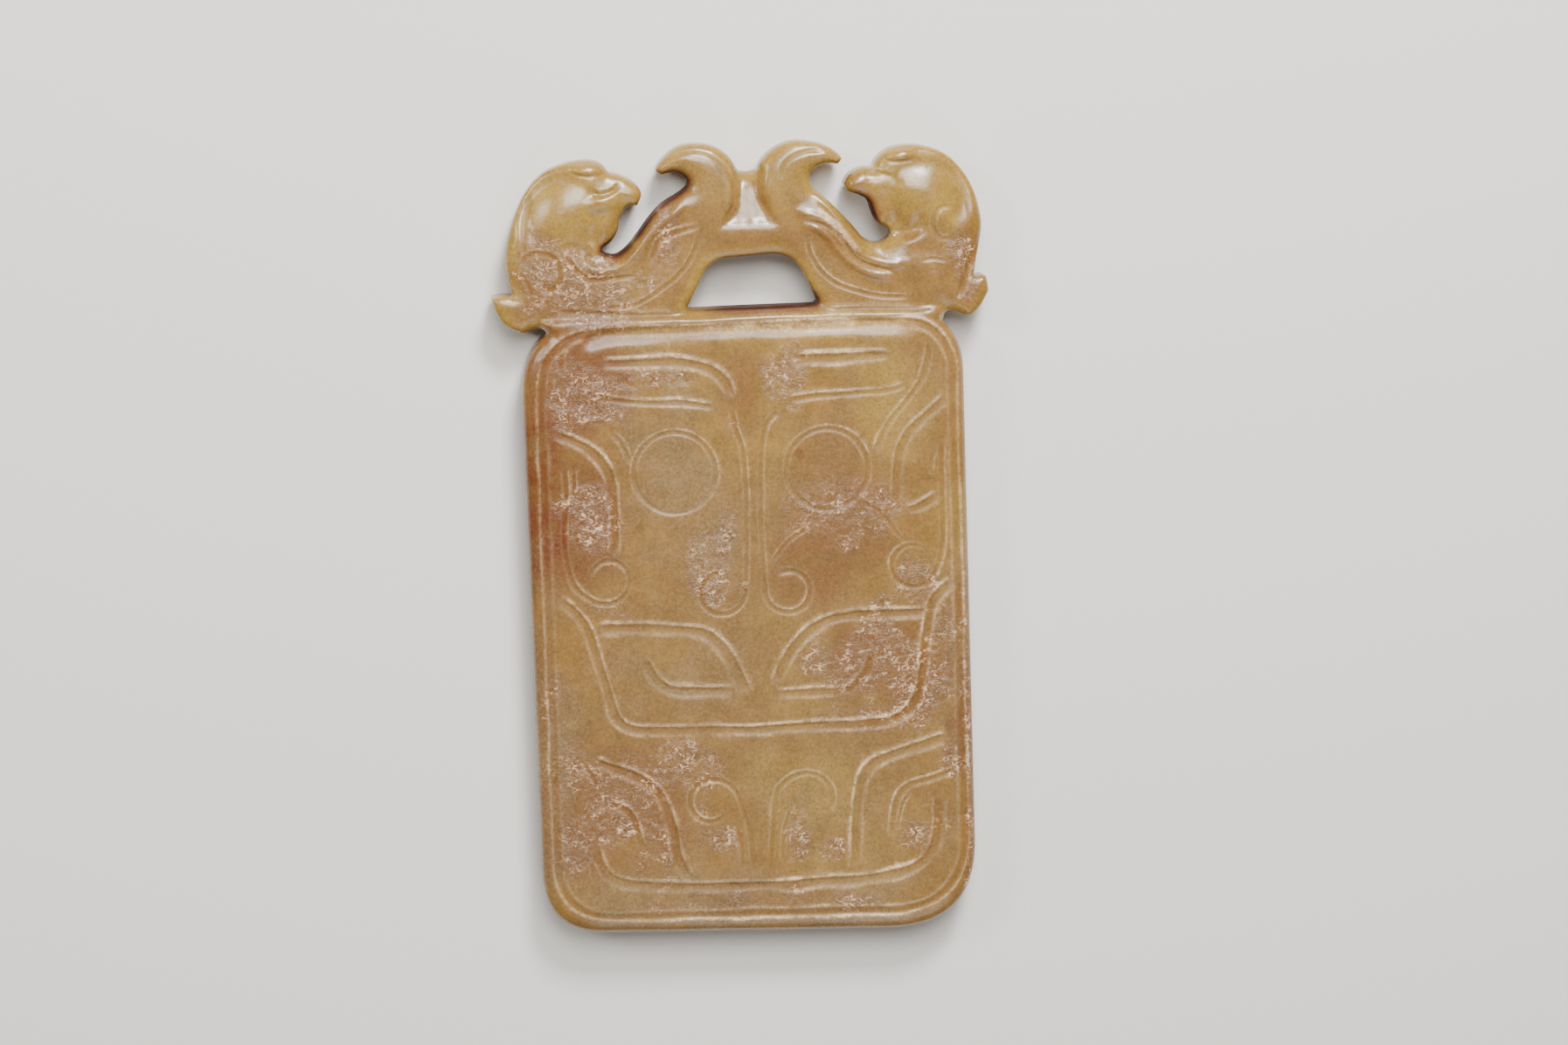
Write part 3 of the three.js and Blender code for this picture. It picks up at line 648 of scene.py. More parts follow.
# The eyes, the beaks, and the hollow of the left neck with its pit
SMALL_FORMS = [
    Swelling((-17.1, 87.95), (2.2, 0.85), 0.4, -0.08), Swelling((18.4, 88.55), (2.2, 0.9), 0.4, 0.02),
    Swelling((-15.5, 84), (2.3, 1.2), 0.4, 0.1), Swelling((13.3, 85.6), (1.7, 1.5), 0.2),
    Swelling((-17.9, 78.5), (2.6, 1.1), -0.35, -0.5), Swelling((-17.3, 78), (0.55, 0.4), -0.3, -0.4),
]
# Where the edge is still crisp: round the opening, in the gaps under the hooks and on the nubs
CRISP_EDGE = patches(
    (-9, 12, 69.5, 79.8), (-14, -4.5, 77, 86), (8, 16.5, 77, 86), (23.6, 31, 68, 76), (-31, -24, 68, 75.4),
)
# The polished hollow between the tail hooks: outline, where it starts to fall back, how steeply, and its soft edge
SADDLE = [(-0.7, 90), (2.8, 90), (3.3, 84.4), (5, 80.6), (-2.8, 80.6), (-1.1, 83.6)]
SADDLE_FOOT, SADDLE_SLOPE, SADDLE_EDGE = 81.2, math.tan(math.radians(13)), 1.25


# Materials


def linear(code: str) -> Colour:
    """Turns an sRGB hex colour of six digits into linear light, with an alpha of 1."""
    parts = (int(code[place : place + 2], 16) / 255 for place in (0, 2, 4))
    return (*(p / 12.92 if p <= 0.04045 else ((p + 0.055) / 1.055) ** 2.4 for p in parts), 1.0)


def add(tree: bpy.types.NodeTree, kind: str, inputs: dict | None = None, **settings: object) -> bpy.types.Node:
    """Adds one shader node.

    Args:
        tree: The material's node tree.
        kind: The node's type.
        inputs: A value or an output socket for each input, by name or number.
        settings: The node's own properties.

    Returns:
        The node.
    """
    made = tree.nodes.new(kind)
    for name, value in settings.items():
        setattr(made, name, value)
    for key, value in (inputs or {}).items():
        if isinstance(value, Socket):
            tree.links.new(value, made.inputs[key])
        else:
            made.inputs[key].default_value = value
    return made


@dataclass(frozen=True)
class Nephrite:
    """Buried nephrite: a waxy, slightly see-through stone, clouded honey and grey-green, stained and pitted.

    Attributes:
        honey: The stone's main colour.
        smoke: Its greyer clouds.
        celadon: Its paler, greener clouds.
        russet: The stain of iron from the soil.
        umber: What is left in the cut lines.
        chalk: Specks of corroded stone.
        shade_and_soil: Painted shade, with some soil and stain, on the walls of the openings and the gaps.
        brown: The half-corroded stone between the specks.
        rim: The worn, bleached rims of the cuts, with painted highlight on them.
        grain_mm: Length over which the fibrous grain changes, as for the other noises.
        slant: Turn of the strands of specks, in degrees.
        depth_mm: How far light runs in the stone.
        reach: How far red, green and blue light do, as shares of that.
    """

    honey: str = "8c6834"
    smoke: str = "816946"
    celadon: str = "9d7c38"
    russet: str = "632b10"
    umber: str = "4f2a10"
    chalk: str = "f5cca5"
    shade_and_soil: str = "35140b"
    brown: str = "7c5022"
    rim: str = "f4d2a2"
    grain_mm: float = 0.3
    speck_mm: float = 0.55
    bloom_mm: float = 0.34
    clump_mm: float = 1.9
    mottle_mm: float = 2.6
    cloud_mm: float = 14.0
    slant: float = -35.0
    ior: float = 1.61
    depth_mm: float = 2.2
    reach: tuple[float, float, float] = (1.0, 0.62, 0.28)
    translucent: float = 0.42
    polish: float = 0.2
    coat: float = 0.15
    coat_roughness: float = 0.12
    pit_mm: float = 0.12

    def material(self) -> bpy.types.Material:
        """Makes the stone's material, which reads the piece's own attributes.

        Returns:
            The material.
        """
        made = bpy.data.materials.new("jade_nephrite")
        made.use_nodes = True
        tree = made.node_tree
        tree.nodes.clear()
        where = add(tree, "ShaderNodeTexCoord").outputs["Object"]

        def noise(size_mm: float, detail: float, roughness: float = 0.55, **more: object) -> Socket:
            """Adds noise that changes over a length of the stone."""
            inputs = {"Vector": where, "Scale": 1 / (size_mm * MM), "Detail": detail, "Roughness": roughness, **more}
            return add(tree, "ShaderNodeTexNoise", inputs).outputs["Fac"]

        def worked(operation: str, *values: object) -> Socket:
            """Adds a sum, product or other step of arithmetic."""
            return add(tree, "ShaderNodeMath", dict(enumerate(values)), operation=operation).outputs[0]

        def times(first: object, second: object) -> Socket:
            """Adds a product."""
            return worked("MULTIPLY", first, second)

        def plus(first: object, second: object) -> Socket:
            """Adds a sum."""
            return worked("ADD", first, second)

        def ramp(value: Socket, low: float, high: float) -> Socket:
            """Adds a smooth rise from 0 to 1 between two values."""
            inputs = {"Value": value, "From Min": low, "From Max": high}
            return add(tree, "ShaderNodeMapRange", inputs, interpolation_type="SMOOTHSTEP").outputs[0]

        def blend(share: object, first: object, second: object) -> Socket:
            """Adds a mix of two colours."""
            inputs = {"Factor": share, 6: first, 7: second}
            return add(tree, "ShaderNodeMix", inputs, data_type="RGBA").outputs[2]

        def drawn(name: str) -> Socket:
            """Reads one of the piece's own attributes."""
            return add(tree, "ShaderNodeAttribute", attribute_name=name).outputs["Fac"]

        names = ("pale", "stain", "chalk", "smoke", "floor", "rim", "shade_and_soil")
        pale, stain, chalky, smoke, floor, rim, shade_and_soil = (drawn(name) for name in names)
        cloud = noise(self.cloud_mm, 4)
        mottle = noise(self.mottle_mm, 5, 0.62)
        grain = noise(self.grain_mm, 3, 0.6)
        turn = {"Vector": where, "Rotation": (0, 0, math.radians(self.slant)), "Scale": (0.75, 1, 1)}
        turned = add(tree, "ShaderNodeMapping", turn).outputs[0]
        speck = noise(self.speck_mm, 4, 0.7, Vector=turned, Distortion=1.3)
        broken = noise(self.clump_mm, 4, 0.66)
        bloom = ramp(noise(self.bloom_mm, 3, 0.65), 0.4, 0.74)

        # Bleached rims, with painted highlight on them, come and go along the line. Chalky specks lie in clusters,
        # thickest along the rims.
        frayed = plus(times(ramp(speck, 0.38, 0.6), 0.85), 0.32)
        bleached_and_highlit = times(times(rim, frayed), ramp(broken, 0.24, 0.58))
        clump = times(ramp(plus(broken, times(chalky, 0.18)), 0.54, 0.8), ramp(chalky, 0.05, 0.5))
        along_rims = times(times(rim, chalky), 0.2)
        specks = times(ramp(plus(speck, along_rims), 0.52, 0.63), clump)

        # Each layer of colour over the honey, from the clouds of the stone up to the specks: its share and colour.
        layers = (
            (times(smoke, ramp(cloud, 0.22, 0.55)), self.smoke),
            (ramp(plus(times(pale, 0.62), cloud), 0.42, 1.02), self.celadon),
            (times(times(stain, ramp(mottle, 0.1, 0.62)), 0.85), self.russet),
            (times(floor, 0.08), self.umber),
            # bleached rims, with painted highlight on them
            (times(bleached_and_highlit, 0.9), self.rim),
            # painted shade, with some soil, on the walls of the openings and the gaps
            (times(shade_and_soil, 0.9), self.shade_and_soil),
            (times(bloom, times(smoke, 0.15)), self.chalk),
            (times(ramp(chalky, 0.05, 0.7), plus(times(clump, 0.3), 0.22)), self.brown),
            (times(ramp(speck, 0.44, 0.3), times(clump, 0.4)), self.umber),
            (times(specks, 0.9), self.chalk),
        )
        colour = linear(self.honey)
        for share, code in layers:
            colour = blend(share, colour, linear(code))
        # A fine fibrous grain, lighter and darker.
        shade = plus(plus(times(grain, 1.15), times(mottle, 0.8)), 0.03)
        shaded = add(tree, "ShaderNodeVectorMath", {0: colour, "Scale": shade}, operation="SCALE").outputs[0]

        # Waxy polish, duller where it is corroded, and lost where residue is left in the cuts and where shade and
        # soil are painted on the walls.
        dull = plus(times(specks, 0.12), times(mottle, 0.12))
        residue_and_shade = worked("MAXIMUM", floor, shade_and_soil)
        roughness = plus(plus(dull, times(residue_and_shade, 0.4)), self.polish)
        shine = worked("SUBTRACT", 1.0, times(residue_and_shade, 0.75))
        pits = plus(times(plus(times(chalky, 1.3), 0.12), speck), times(grain, 0.1))
        bump = add(tree, "ShaderNodeBump", {"Height": pits, "Strength": 0.85, "Distance": self.pit_mm * MM})
        shader = add(tree, "ShaderNodeBsdfPrincipled", {
            "Base Color": shaded,
            "Roughness": roughness,
            "IOR": self.ior,
            "Specular IOR Level": times(shine, 0.5),
            "Normal": bump.outputs[0],
            "Subsurface Weight": self.translucent,
            "Subsurface Radius": self.reach,
            "Subsurface Scale": self.depth_mm * MM,
            "Coat Weight": times(shine, self.coat),
            "Coat Roughness": self.coat_roughness,
        })
        add(tree, "ShaderNodeOutputMaterial", {"Surface": shader.outputs[0]})
        return made


@dataclass(frozen=True)
class Paper:
    """Matt pale paper that the plaque is laid on."""

    colour: str = "efebe4"
    roughness: float = 0.9

    def material(self) -> bpy.types.Material:
        """Makes the paper's material.

        Returns:
            The material.
        """
        made = bpy.data.materials.new("matt_paper")
        made.use_nodes = True
        shader = made.node_tree.nodes["Principled BSDF"]
        shader.inputs["Base Color"].default_value = linear(self.colour)
        shader.inputs["Roughness"].default_value = self.roughness
        return made


# The piece


@dataclass(frozen=True)
class Weave:
    """How close the points of a face lie: in rings along its edge, in rows along its cuts, and between them."""

    rings: tuple[float, ...]
    row_step: float
    row_gap: float
    fill: float
    cell: float


WEAVES = {
    Side.FRONT: Weave((0.07, 0.22, 0.45, 0.8, 1.25, 1.8, 2.4), 0.32, 0.17, 0.43, 0.1),
    Side.BACK: Weave((0.1, 0.35, 0.8, 1.5), 0.5, 0.3, 0.9, 0.16),
}
# Rise between rows of the grid and how uneven it is, as shares of its step
GRID_RISE, GRID_JITTER = 0.866, 0.12
# Rings this far in or farther keep every second point
THIN_FROM = 0.7
RIDGE_STEP, RIDGE_GAP = 0.35, 0.25
# Where the front is this corroded or more, its points lie closer
CORRODED, CORRODED_FILL = 0.2, 0.27
# Nothing but rings is laid nearer to the edge than this, and a ring's points keep this share of its distance
EDGE_KEPT, RING_KEPT = 0.3, 0.93
# Loose points keep this many half widths clear of a line, unless it is this faint
CLEAR, FAINT = 1.6, 0.02

# Where the face steps down to the crest, and to the nubs beside it, out from the middle and up
CREST_FOOT, NUB_SIDE, NUB_FOOT = (70.35, 71.2), (22.2, 23.4), (68.9, 69.5)
# Noises that vary a line cut by hand: the shift where each is read, and the length over which it changes
WIDTH_NOISE, WANDER_NOISE, WEAR_NOISE, RIM_BREAKUP_NOISE = (13, 3.0), (71, 4.0), (0, 5.0), (29, 6.0)
# How far in from the edge the stain and painted shade of the sides, the crest's paler stone with its painted glow,
# and the painted shade and soil of the gaps end, and where they start to fade
EDGE_STAIN_AND_SHADE_BAND, CREST_GLOW_BAND, SHADE_AND_SOIL_BAND = (1.1, 0.15), (2.0, 0.3), (0.45, 0.05)


@dataclass
class JadePlaque:
    """The carved plaque: two carved faces over one outline, joined by its walls.

    Attributes:
        thickness: Depth of the slab, in millimetres as all sizes here.
        crest_drop: How far the crest's faces lie below the slab's.
        slab_edge: Width and drop of the slab's worn edge, then the crest's, then what the round heads add.
        crisp: How much narrower the edge is where it is crisp.
        edge_step: Distance between points of the outline.
    """

    name: str = "jade_plaque_carved"
    thickness: float = 6.5
    crest_drop: float = 0.5
    slab_edge: tuple[float, float] = (1.9, 1.25)
    crest_edge: tuple[float, float] = (2.5, 1.3)
    head_edge: tuple[float, float] = (2.7, 0.6)
    crisp: float = 0.55
    uneven: float = 0.14
    lip: float = 0.07
    back_chalk: float = 0.45
    edge_step: float = 0.4
    wall_rows: int = 5
    finish: Nephrite = field(default_factory=Nephrite)
    grain: Grain = field(default_factory=lambda: Grain(GRAIN_SEED))

    def __post_init__(self) -> None:
        """Draws the outline, the opening and the border once."""
        self.outline = self.whole_outline()
        self.opening = rounded(CORD_OPENING, self.edge_step)[::-1]
        self.middle = (self.outline.min(0) + self.outline.max(0)) / 2
        self.border = Cut(BORDER_WIDTH, closed(rounded(BORDER, 0.5)), -1, taper=0.01)
        self.edge = Nearest(np.vstack([resample(closed(loop), 0.04) for loop in (self.outline, self.opening)]))

    def whole_outline(self) -> Points:
        """Joins the crest's outline to the slab's where they cross.

        Returns:
            The outline, counter-clockwise.
        """
        crest = spline(CREST[0], self.edge_step)
        for before, stretch in zip(CREST, CREST[1:]):
            crest = np.vstack([crest, spline([before[-1], *stretch], self.edge_step)[1:]])
        slab = rounded(SLAB, self.edge_step)
        outside = ~within(crest, slab)
        first, last = np.flatnonzero(outside)[[0, -1]]
        kept = crest[first : last + 1]
        start = np.argmin(((slab - kept[0]) ** 2).sum(1))
        slab = np.roll(slab, -start, axis=0)
        stop = np.argmin(((slab - kept[-1]) ** 2).sum(1))
        return np.vstack([slab[1:stop], kept[::-1]])

    def rim_edges(self) -> list[tuple[int, int]]:
        """Lists the edges round the outline and then round the opening.

        Returns:
            The numbers of the two points of each edge, as many edges as points.
        """
        edges = []
        for loop in (self.outline, self.opening):
            start, count = len(edges), len(loop)
            edges += [(start + index, start + (index + 1) % count) for index in range(count)]
        return edges

    def cuts(self, side: Side) -> list[Cut]:
        """Lists the lines cut in one face."""
        return [self.border, *(BACK_CUTS if side is Side.BACK else MASK_CUTS + BIRD_CUTS)]

    def depth_in(self, points: Points) -> Values:
        """Gives the distance of points from the nearest edge of the plaque."""
        return self.edge.to(points)[1]

    def on_plaque(self, points: Points) -> Values:
        """Tells which points lie on the plaque, and not in its opening."""
        return within(points, self.outline) & ~within(points, self.opening)

    def chalk(self, points: Points) -> Values:
        """Tells how corroded the front is at points, from 0 to 1."""
        return np.clip(covered(CHALK, points, self.grain.rough(points, 4.0)), 0, 1)

    def grid(self, step: float) -> Points:
        """Lays a slightly uneven grid of triangles over the whole plaque.

        Args:
            step: Distance between points.

        Returns:
            The points.
        """
        low, high = self.outline.min(0), self.outline.max(0)
        rows = np.arange(low[1], high[1], step * GRID_RISE)
        columns = np.arange(low[0], high[0], step)
        across, up = np.meshgrid(columns, rows)
        across = across + (np.arange(len(rows)) % 2)[:, None] * step / 2
        points = np.column_stack([across.ravel(), up.ravel()])
        jitter = np.random.default_rng(GRID_SEED).uniform(-GRID_JITTER, GRID_JITTER, points.shape)
        return points + jitter * step

    def scatter(self, side: Side) -> Points:
        """Lays the points of one face: along its edge, along its cuts, and between them.

        Args:
            side: The face.

        Returns:
            The points, all inside the outline.
        """
        weave = WEAVES[side]
        rings = []
        for loop in (self.outline, self.opening):
            inward = turned_left(tangents(np.vstack([loop[-1:], loop, loop[:1]]))[1:-1])
            for depth in weave.rings:
                laid = (loop + depth * inward)[:: 1 if depth < THIN_FROM else 2]
                rings.append(laid[self.depth_in(laid) > RING_KEPT * depth])
        cuts = self.cuts(side)
        rows = [cut.rows(weave.row_step, weave.row_gap) for cut in cuts]
        loose = self.grid(weave.fill)
        if side is Side.FRONT:
            rows += [ridge.rows(RIDGE_STEP, RIDGE_GAP) for ridge in RIDGES]
            close = self.grid(CORRODED_FILL)
            loose = np.vstack([close[self.chalk(close) > CORRODED], loose[self.chalk(loose) <= CORRODED]])
        free = np.ones(len(loose), dtype=bool)
        for cut in cuts:
            near, across, full, _ = cut.read(loose)
            free[near[(np.abs(across) < CLEAR) & (full > FAINT)]] = False
        inner = np.vstack([*rows, loose[free]])
        inner = inner[self.on_plaque(inner)]
        laid = np.vstack([*rings, inner[self.depth_in(inner) > EDGE_KEPT]])
        laid = laid[self.on_plaque(laid)]
        _, first = np.unique(np.floor(laid / weave.cell).astype(int), axis=0, return_index=True)
        return laid[np.sort(first)]

    def crest(self, points: Points) -> Values:
        """Tells how far points belong to the crest and its nubs, from 0 on the slab to 1."""
        u, v = points.T
        return np.maximum(smooth(v, *CREST_FOOT), smooth(np.abs(u), *NUB_SIDE) * smooth(v, *NUB_FOOT))

    def saddle_fall(self, points: Points) -> Values:
        """Gives how far the polished hollow between the tail hooks falls back.

        Args:
            points: The points.

        Returns:
            Its depth at each point, 0 outside it.
        """
        loop = np.asarray(SADDLE, dtype=float)
        ways = np.roll(loop, -1, axis=0) - loop
        gaps = points[:, None] - loop[None]
        share = np.clip((gaps * ways).sum(2) / (ways**2).sum(1), 0, 1)
        away = np.sqrt(((gaps - share[:, :, None] * ways) ** 2).sum(2)).min(1)
        depth = np.clip(points[:, 1] - SADDLE_FOOT, 0, None) * SADDLE_SLOPE + 0.25
        uneven = 0.3 * self.grain.rough(points * [1.6, 0.7], 1.5)
        return (depth + uneven) * smooth(np.where(within(points, loop), away, 0), 0, SADDLE_EDGE)

    def uncut(self, points: Points, away: Values, side: Side) -> Values:
        """Works out the height of one face before lines are cut in it.

        Args:
            points: Points of the face.
            away: Their distances from the nearest edge.
            side: The face.

        Returns:
            The heights above the middle of the plaque's depth.
        """
        crest = self.crest(points)
        height = self.thickness / 2 - self.crest_drop * crest
        for swelling in HEADS_AND_WINGS:
            height = height + swelling.height(points) * crest
        # Worn edges: a quarter of an oval, wider and rounder on the crest than on the slab.
        heads = [swelling.height(points) / swelling.rise for swelling in HEADS_AND_WINGS[:2]]
        head = smooth(np.max(heads, axis=0), 0, 0.6)
        crisp = 1 - self.crisp * covered(CRISP_EDGE, points, 0.5)
        sizes = zip(self.slab_edge, self.crest_edge, self.head_edge)
        wide, drop = (((1 - crest) * slab + crest * top + added * head) * crisp for slab, top, added in sizes)
        share = 1 - np.minimum(away / wide, 1)
        oval = 1 - np.sqrt(np.maximum(1 - share**2, 0))
        height = height - drop * (oval + head * (share**2 - oval))
        height = height - self.uneven * self.grain.rough(points, 9.0, 2)
        if side is Side.FRONT:
            height = height - self.saddle_fall(points) + sum(form.height(points) for form in SMALL_FORMS)
            for ridge in RIDGES:
                near, across, full, _ = ridge.read(points)
                height[near] += ridge.deep * ridge.width * full * np.exp(-1.6 * across**2)
        return height

    def carve(self, points: Points, side: Side) -> dict[str, Values]:
        """Cuts the lines of one face.

        Args:
            points: Points of the face.
            side: The face.

        Returns:
            By name, the depth of the trough, the lip beside it, and how far a point is on a floor or on a bleached
            rim with painted highlight.
        """
        carved = {name: np.zeros(len(points)) for name in ("trough", "lip", "floor", "rim")}
        noises = (WIDTH_NOISE, WANDER_NOISE, WEAR_NOISE, RIM_BREAKUP_NOISE)
        for cut in self.cuts(side):
            near, across, full, level = cut.read(points)
            hand, wander, wear, rim_breakup = (self.grain.at(points[near] + shift, size) for shift, size in noises)
            across = across / (0.86 + 0.28 * hand) + 0.3 * (wander - 0.5)
            shape, sharp, either = cut.section(across)
            # Rims are brighter on lines that run level, a painted highlight where light falls from above; noise
            # breaks them up along the line.
            broken = (0.45 + 0.55 * level) * (0.25 + 1.2 * rim_breakup) * (0.5 + hand)
            found = {
                "trough": cut.deep * cut.width * full * (0.6 + 0.7 * wear) * shape,
                "lip": self.lip * abs(cut.lean) * full * sharp,
                "floor": full * np.minimum(2.2 * shape, 1) * min(1.2 * cut.pale, 1),
                "rim": full * np.maximum(cut.pale * either * broken, cut.floor_bleach_and_highlight * shape),
            }
            for name, values in found.items():
                carved[name][near] = np.maximum(carved[name][near], values)
        return carved

    def burial(self, points: Points, away: Values, side: Side) -> dict[str, Values]:
        """Works out what burial has done to the stone of one face, with painted shade on its edges and gaps and a
        painted glow along the crest's edge.

        Args:
            points: Points of the face.
            away: Their distances from the nearest edge.
            side: The face.

        Returns:
            The attributes that the material reads for it, by name.
        """
        front = side is Side.FRONT
        chalk = self.chalk(points) if front else self.back_chalk * self.chalk(points * [-1, 1])
        wobble = self.grain.rough(points + 50, 6.0)
        calm = 0.5 + 0.4 * (wobble - 0.5)
        stain, pale, smoke = (covered(kind, points, wobble) for kind in (STAIN, PALE, SMOKE))
        # Painted shade with some soil in the gaps and round the opening, and stain with painted shade down the sides
        # of the slab as well.
        shade_and_soil, brown = (covered(kind, points, calm) for kind in (SHADE_AND_SOIL, SHADE_AND_SOIL + SIDE_STAIN_AND_SHADE))
        return {
            "chalk": chalk,
            # Stain, with painted shade, on the rounded edge of the sides and of the gaps.
            "stain": np.maximum(stain, brown * smooth(away, *EDGE_STAIN_AND_SHADE_BAND)),
            # Paler stone, and a painted glow along the crest's edge, where thin stone lets light through.
            "pale": np.maximum(pale, self.crest(points) * smooth(away, *CREST_GLOW_BAND) * (1 - brown)),
            "smoke": smoke,
            # Painted shade, with some soil, close to the edge of the gaps and the opening.
            "shade_and_soil": shade_and_soil * smooth(away, *SHADE_AND_SOIL_BAND),
        }

    def relief(self, points: Points, away: Values, side: Side) -> tuple[Values, dict[str, Values]]:
        """Works out the height of one face and what its material reads.

        Args:
            points: Points of the face.
            away: Their distances from the nearest edge.
            side: The face.

        Returns:
            The heights above the middle of the plaque's depth, and the attributes by name.
        """
        height = self.uncut(points, away, side)
        carved, looks = self.carve(points, side), self.burial(points, away, side)
        height = np.minimum(height + carved["lip"], self.thickness / 2) - carved["trough"]
        pits = np.clip(self.grain.rough(points, 1.1) - 0.42, 0, 1)
        height = height - looks["chalk"] * (0.05 + 0.3 * pits)
        return height, {**looks, "floor": carved["floor"], "rim": carved["rim"]}

    def face(self, side: Side) -> tuple[Points, list, Values, dict[str, Values]]:
        """Makes the triangles of one face.

        Args:
            side: The face.

        Returns:
            Its points, the outline's first and then the opening's, its triangles, the heights of the points
            and their attributes.
        """
        points = np.vstack([self.outline, self.opening, self.scatter(side)])
        edges = self.rim_edges()
        made = delaunay_2d_cdt([Vector(point) for point in points], edges, [], 1, 1e-7)
        points = np.array([tuple(point) for point in made[0]])
        triangles = np.asarray(made[2])
        triangles = triangles[~within(points[triangles].mean(1), self.opening)]
        used = np.unique(np.concatenate([np.arange(len(edges)), triangles.ravel()]))
        number = np.full(len(points), -1)
        number[used] = np.arange(len(used))
        points, triangles = points[used], number[triangles]
        away = self.depth_in(points)
        away[: len(edges)] = 0
        heights, looks = self.relief(points, away, side)
        return points, triangles.tolist(), heights, looks

    def build(self) -> bpy.types.Object:
        """Builds the closed piece from its two faces and its walls.

        Returns:
            The piece, at the origin.
        """
        front, front_tris, front_high, front_looks = self.face(Side.FRONT)
        back, back_tris, back_high, back_looks = self.face(Side.BACK)
        top, base = self.thickness / 2 + front_high, self.thickness / 2 - back_high
        edges = self.rim_edges()
        count = len(edges)
        shares = np.arange(1, self.wall_rows) / self.wall_rows
        levels = [top[:count] * (1 - share) + base[:count] * share for share in shares]
        walls = [np.column_stack([front[:count], level]) for level in levels]
        places = np.vstack([np.column_stack([front, top]), np.column_stack([back, base]), *walls])
        places[:, :2] -= self.middle
        below, beside = len(front), len(front) + len(back)
        faces = front_tris + [[below + c, below + b, below + a] for a, b, c in back_tris]
        starts = [0, *(beside + row * count for row in range(len(walls))), below]
        for upper, lower in zip(starts, starts[1:]):
            faces += [[upper + a, lower + a, lower + b, upper + b] for a, b in edges]
        mesh = bpy.data.meshes.new(self.name)
        mesh.from_pydata((places * MM).tolist(), [], faces)
        for name, values in front_looks.items():
            edge = values[:count]
            # Painted shade: every wall gets at least 0.4 of the stain to darken it, less where the stone is pale and
            # where the crest's edge has its painted glow; the edge's own stain also runs down the wall.
            if name == "stain":  # on the walls too, less where the stone is pale
                edge = np.maximum(edge, 0.4 - 0.3 * front_looks["pale"][:count])
            whole = np.concatenate([values, back_looks[name], *([edge] * len(walls))])
            mesh.attributes.new(name, "FLOAT", "POINT").data.foreach_set("value", whole.astype(np.float32))
        piece = bpy.data.objects.new(self.name, mesh)
        bpy.context.collection.objects.link(piece)
        bpy.ops.object.select_all(action="DESELECT")
        piece.select_set(True)
        bpy.context.view_layer.objects.active = piece
        bpy.ops.object.mode_set(mode="EDIT")
        bpy.ops.mesh.select_all(action="SELECT")
        bpy.ops.mesh.normals_make_consistent(inside=False)
        bpy.ops.object.mode_set(mode="OBJECT")
        bpy.ops.object.shade_smooth()
        return piece

    def dress(self, piece: bpy.types.Object) -> None:
        """Gives the piece its stone and its place in the part.

        Args:
            piece: The built piece.
        """
        piece.data.materials.append(self.finish.material())
        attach(piece, "root")
        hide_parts("jade_plaque")


# The studio


@dataclass(frozen=True)
class Lamp:
    """A soft square lamp that points at the plaque: its place and side in metres, and its power in watts."""

    name: str
    place: tuple[float, float, float]
    size: float
    watts: float

    def hang(self) -> None:
        """Hangs the lamp."""
        bpy.ops.object.light_add(type="AREA", location=self.place)
        made = bpy.context.object
        made.name = self.name
        made.data.size = self.size
        made.data.energy = self.watts
        made.rotation_euler = Vector(self.place).to_track_quat("Z", "Y").to_euler()


LAMPS = (
    Lamp("key_softbox", (0.08, 0.33, 0.30), 0.10, 2.4),
    Lamp("overhead_softbox", (0.03, 0.30, 0.62), 0.30, 4.0),
    Lamp("front_softbox", (0.10, -0.42, 0.50), 0.4, 0.9),
    Lamp("side_softbox", (-0.32, 0.18, 0.34), 0.12, 0.6),
)


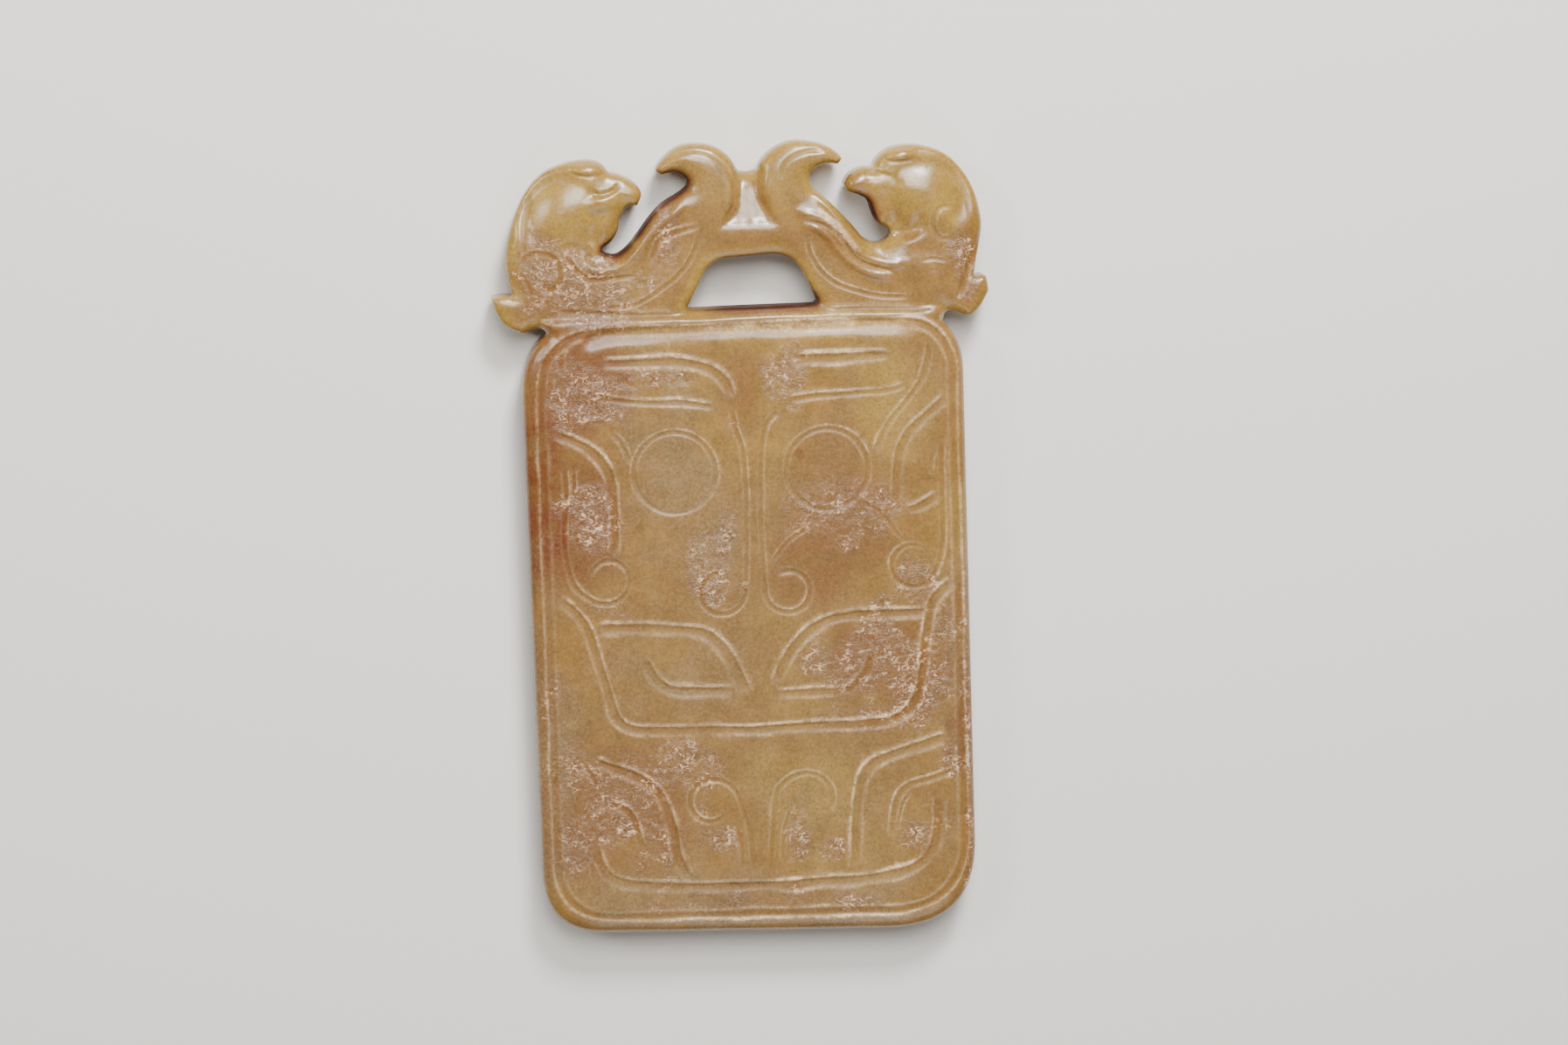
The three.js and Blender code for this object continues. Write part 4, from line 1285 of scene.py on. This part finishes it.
@dataclass
class Studio:
    """The pale floor, the soft lights and the camera, which looks down on the plaque.

    Attributes:
        aim: The point of the drawing in the middle of the picture.
        distance: From the camera to that point, in millimetres.
        pitch: How far the camera leans up the plaque, in degrees, as the other angles.
    """

    aim: tuple[float, float] = (4.1, 46.8)
    distance: float = 500.0
    pitch: float = 8.5
    yaw: float = 4.0
    roll: float = 1.6
    lens: float = 100.0
    sensor: float = 36.0
    floor_size: float = 3.0
    room: str = "e8e6e2"
    glow: float = 0.15
    finish: Paper = field(default_factory=Paper)

    def floor(self) -> None:
        """Lays the floor that the plaque lies on."""
        bpy.ops.object.select_all(action="DESELECT")
        bpy.ops.mesh.primitive_plane_add(size=self.floor_size, location=(0, 0, 0))
        made = bpy.context.object
        made.name = "floor"
        made.data.materials.append(self.finish.material())

    def lights(self) -> None:
        """Hangs the lamps and sets the even light of the room."""
        for lamp in LAMPS:
            lamp.hang()
        world = bpy.data.worlds.new("room")
        world.use_nodes = True
        background = world.node_tree.nodes["Background"]
        background.inputs["Color"].default_value = linear(self.room)
        background.inputs["Strength"].default_value = self.glow
        bpy.context.scene.world = world

    def camera(self, plaque: JadePlaque) -> None:
        """Places the camera over the plaque.

        Args:
            plaque: The plaque, whose drawing the aim is read on.
        """
        pitch, yaw, roll = (math.radians(angle) for angle in (self.pitch, self.yaw, self.roll))
        away = Vector((-math.sin(yaw), math.sin(pitch), 0))
        away.z = math.sqrt(1 - away.length_squared)
        across = Vector((0, 1, 0)).cross(away).normalized()
        up = away.cross(across)
        right = math.cos(roll) * across - math.sin(roll) * up
        top = math.sin(roll) * across + math.cos(roll) * up
        aim = Vector((*(np.asarray(self.aim) - plaque.middle), plaque.thickness))
        place = (aim + self.distance * away) * MM
        bpy.ops.object.camera_add()
        made = bpy.context.object
        made.name = "photo_camera"
        made.data.lens = self.lens
        made.data.sensor_width = self.sensor
        made.data.clip_start = 0.01
        made.matrix_world = Matrix.Translation(place) @ Matrix((right, top, away)).transposed().to_4x4()
        bpy.context.scene.camera = made


def main() -> None:
    """Builds and dresses the plaque, then sets the studio round it."""
    logging.basicConfig(level=logging.INFO, format="%(name)s: %(message)s")
    plaque = JadePlaque()
    piece = plaque.build()
    plaque.dress(piece)
    triangles = sum(len(face.vertices) - 2 for face in piece.data.polygons)
    log.info("%s: %d triangles", piece.name, triangles)
    studio = Studio()
    studio.floor()
    studio.lights()
    studio.camera(plaque)


if __name__ == "__main__":
    main()
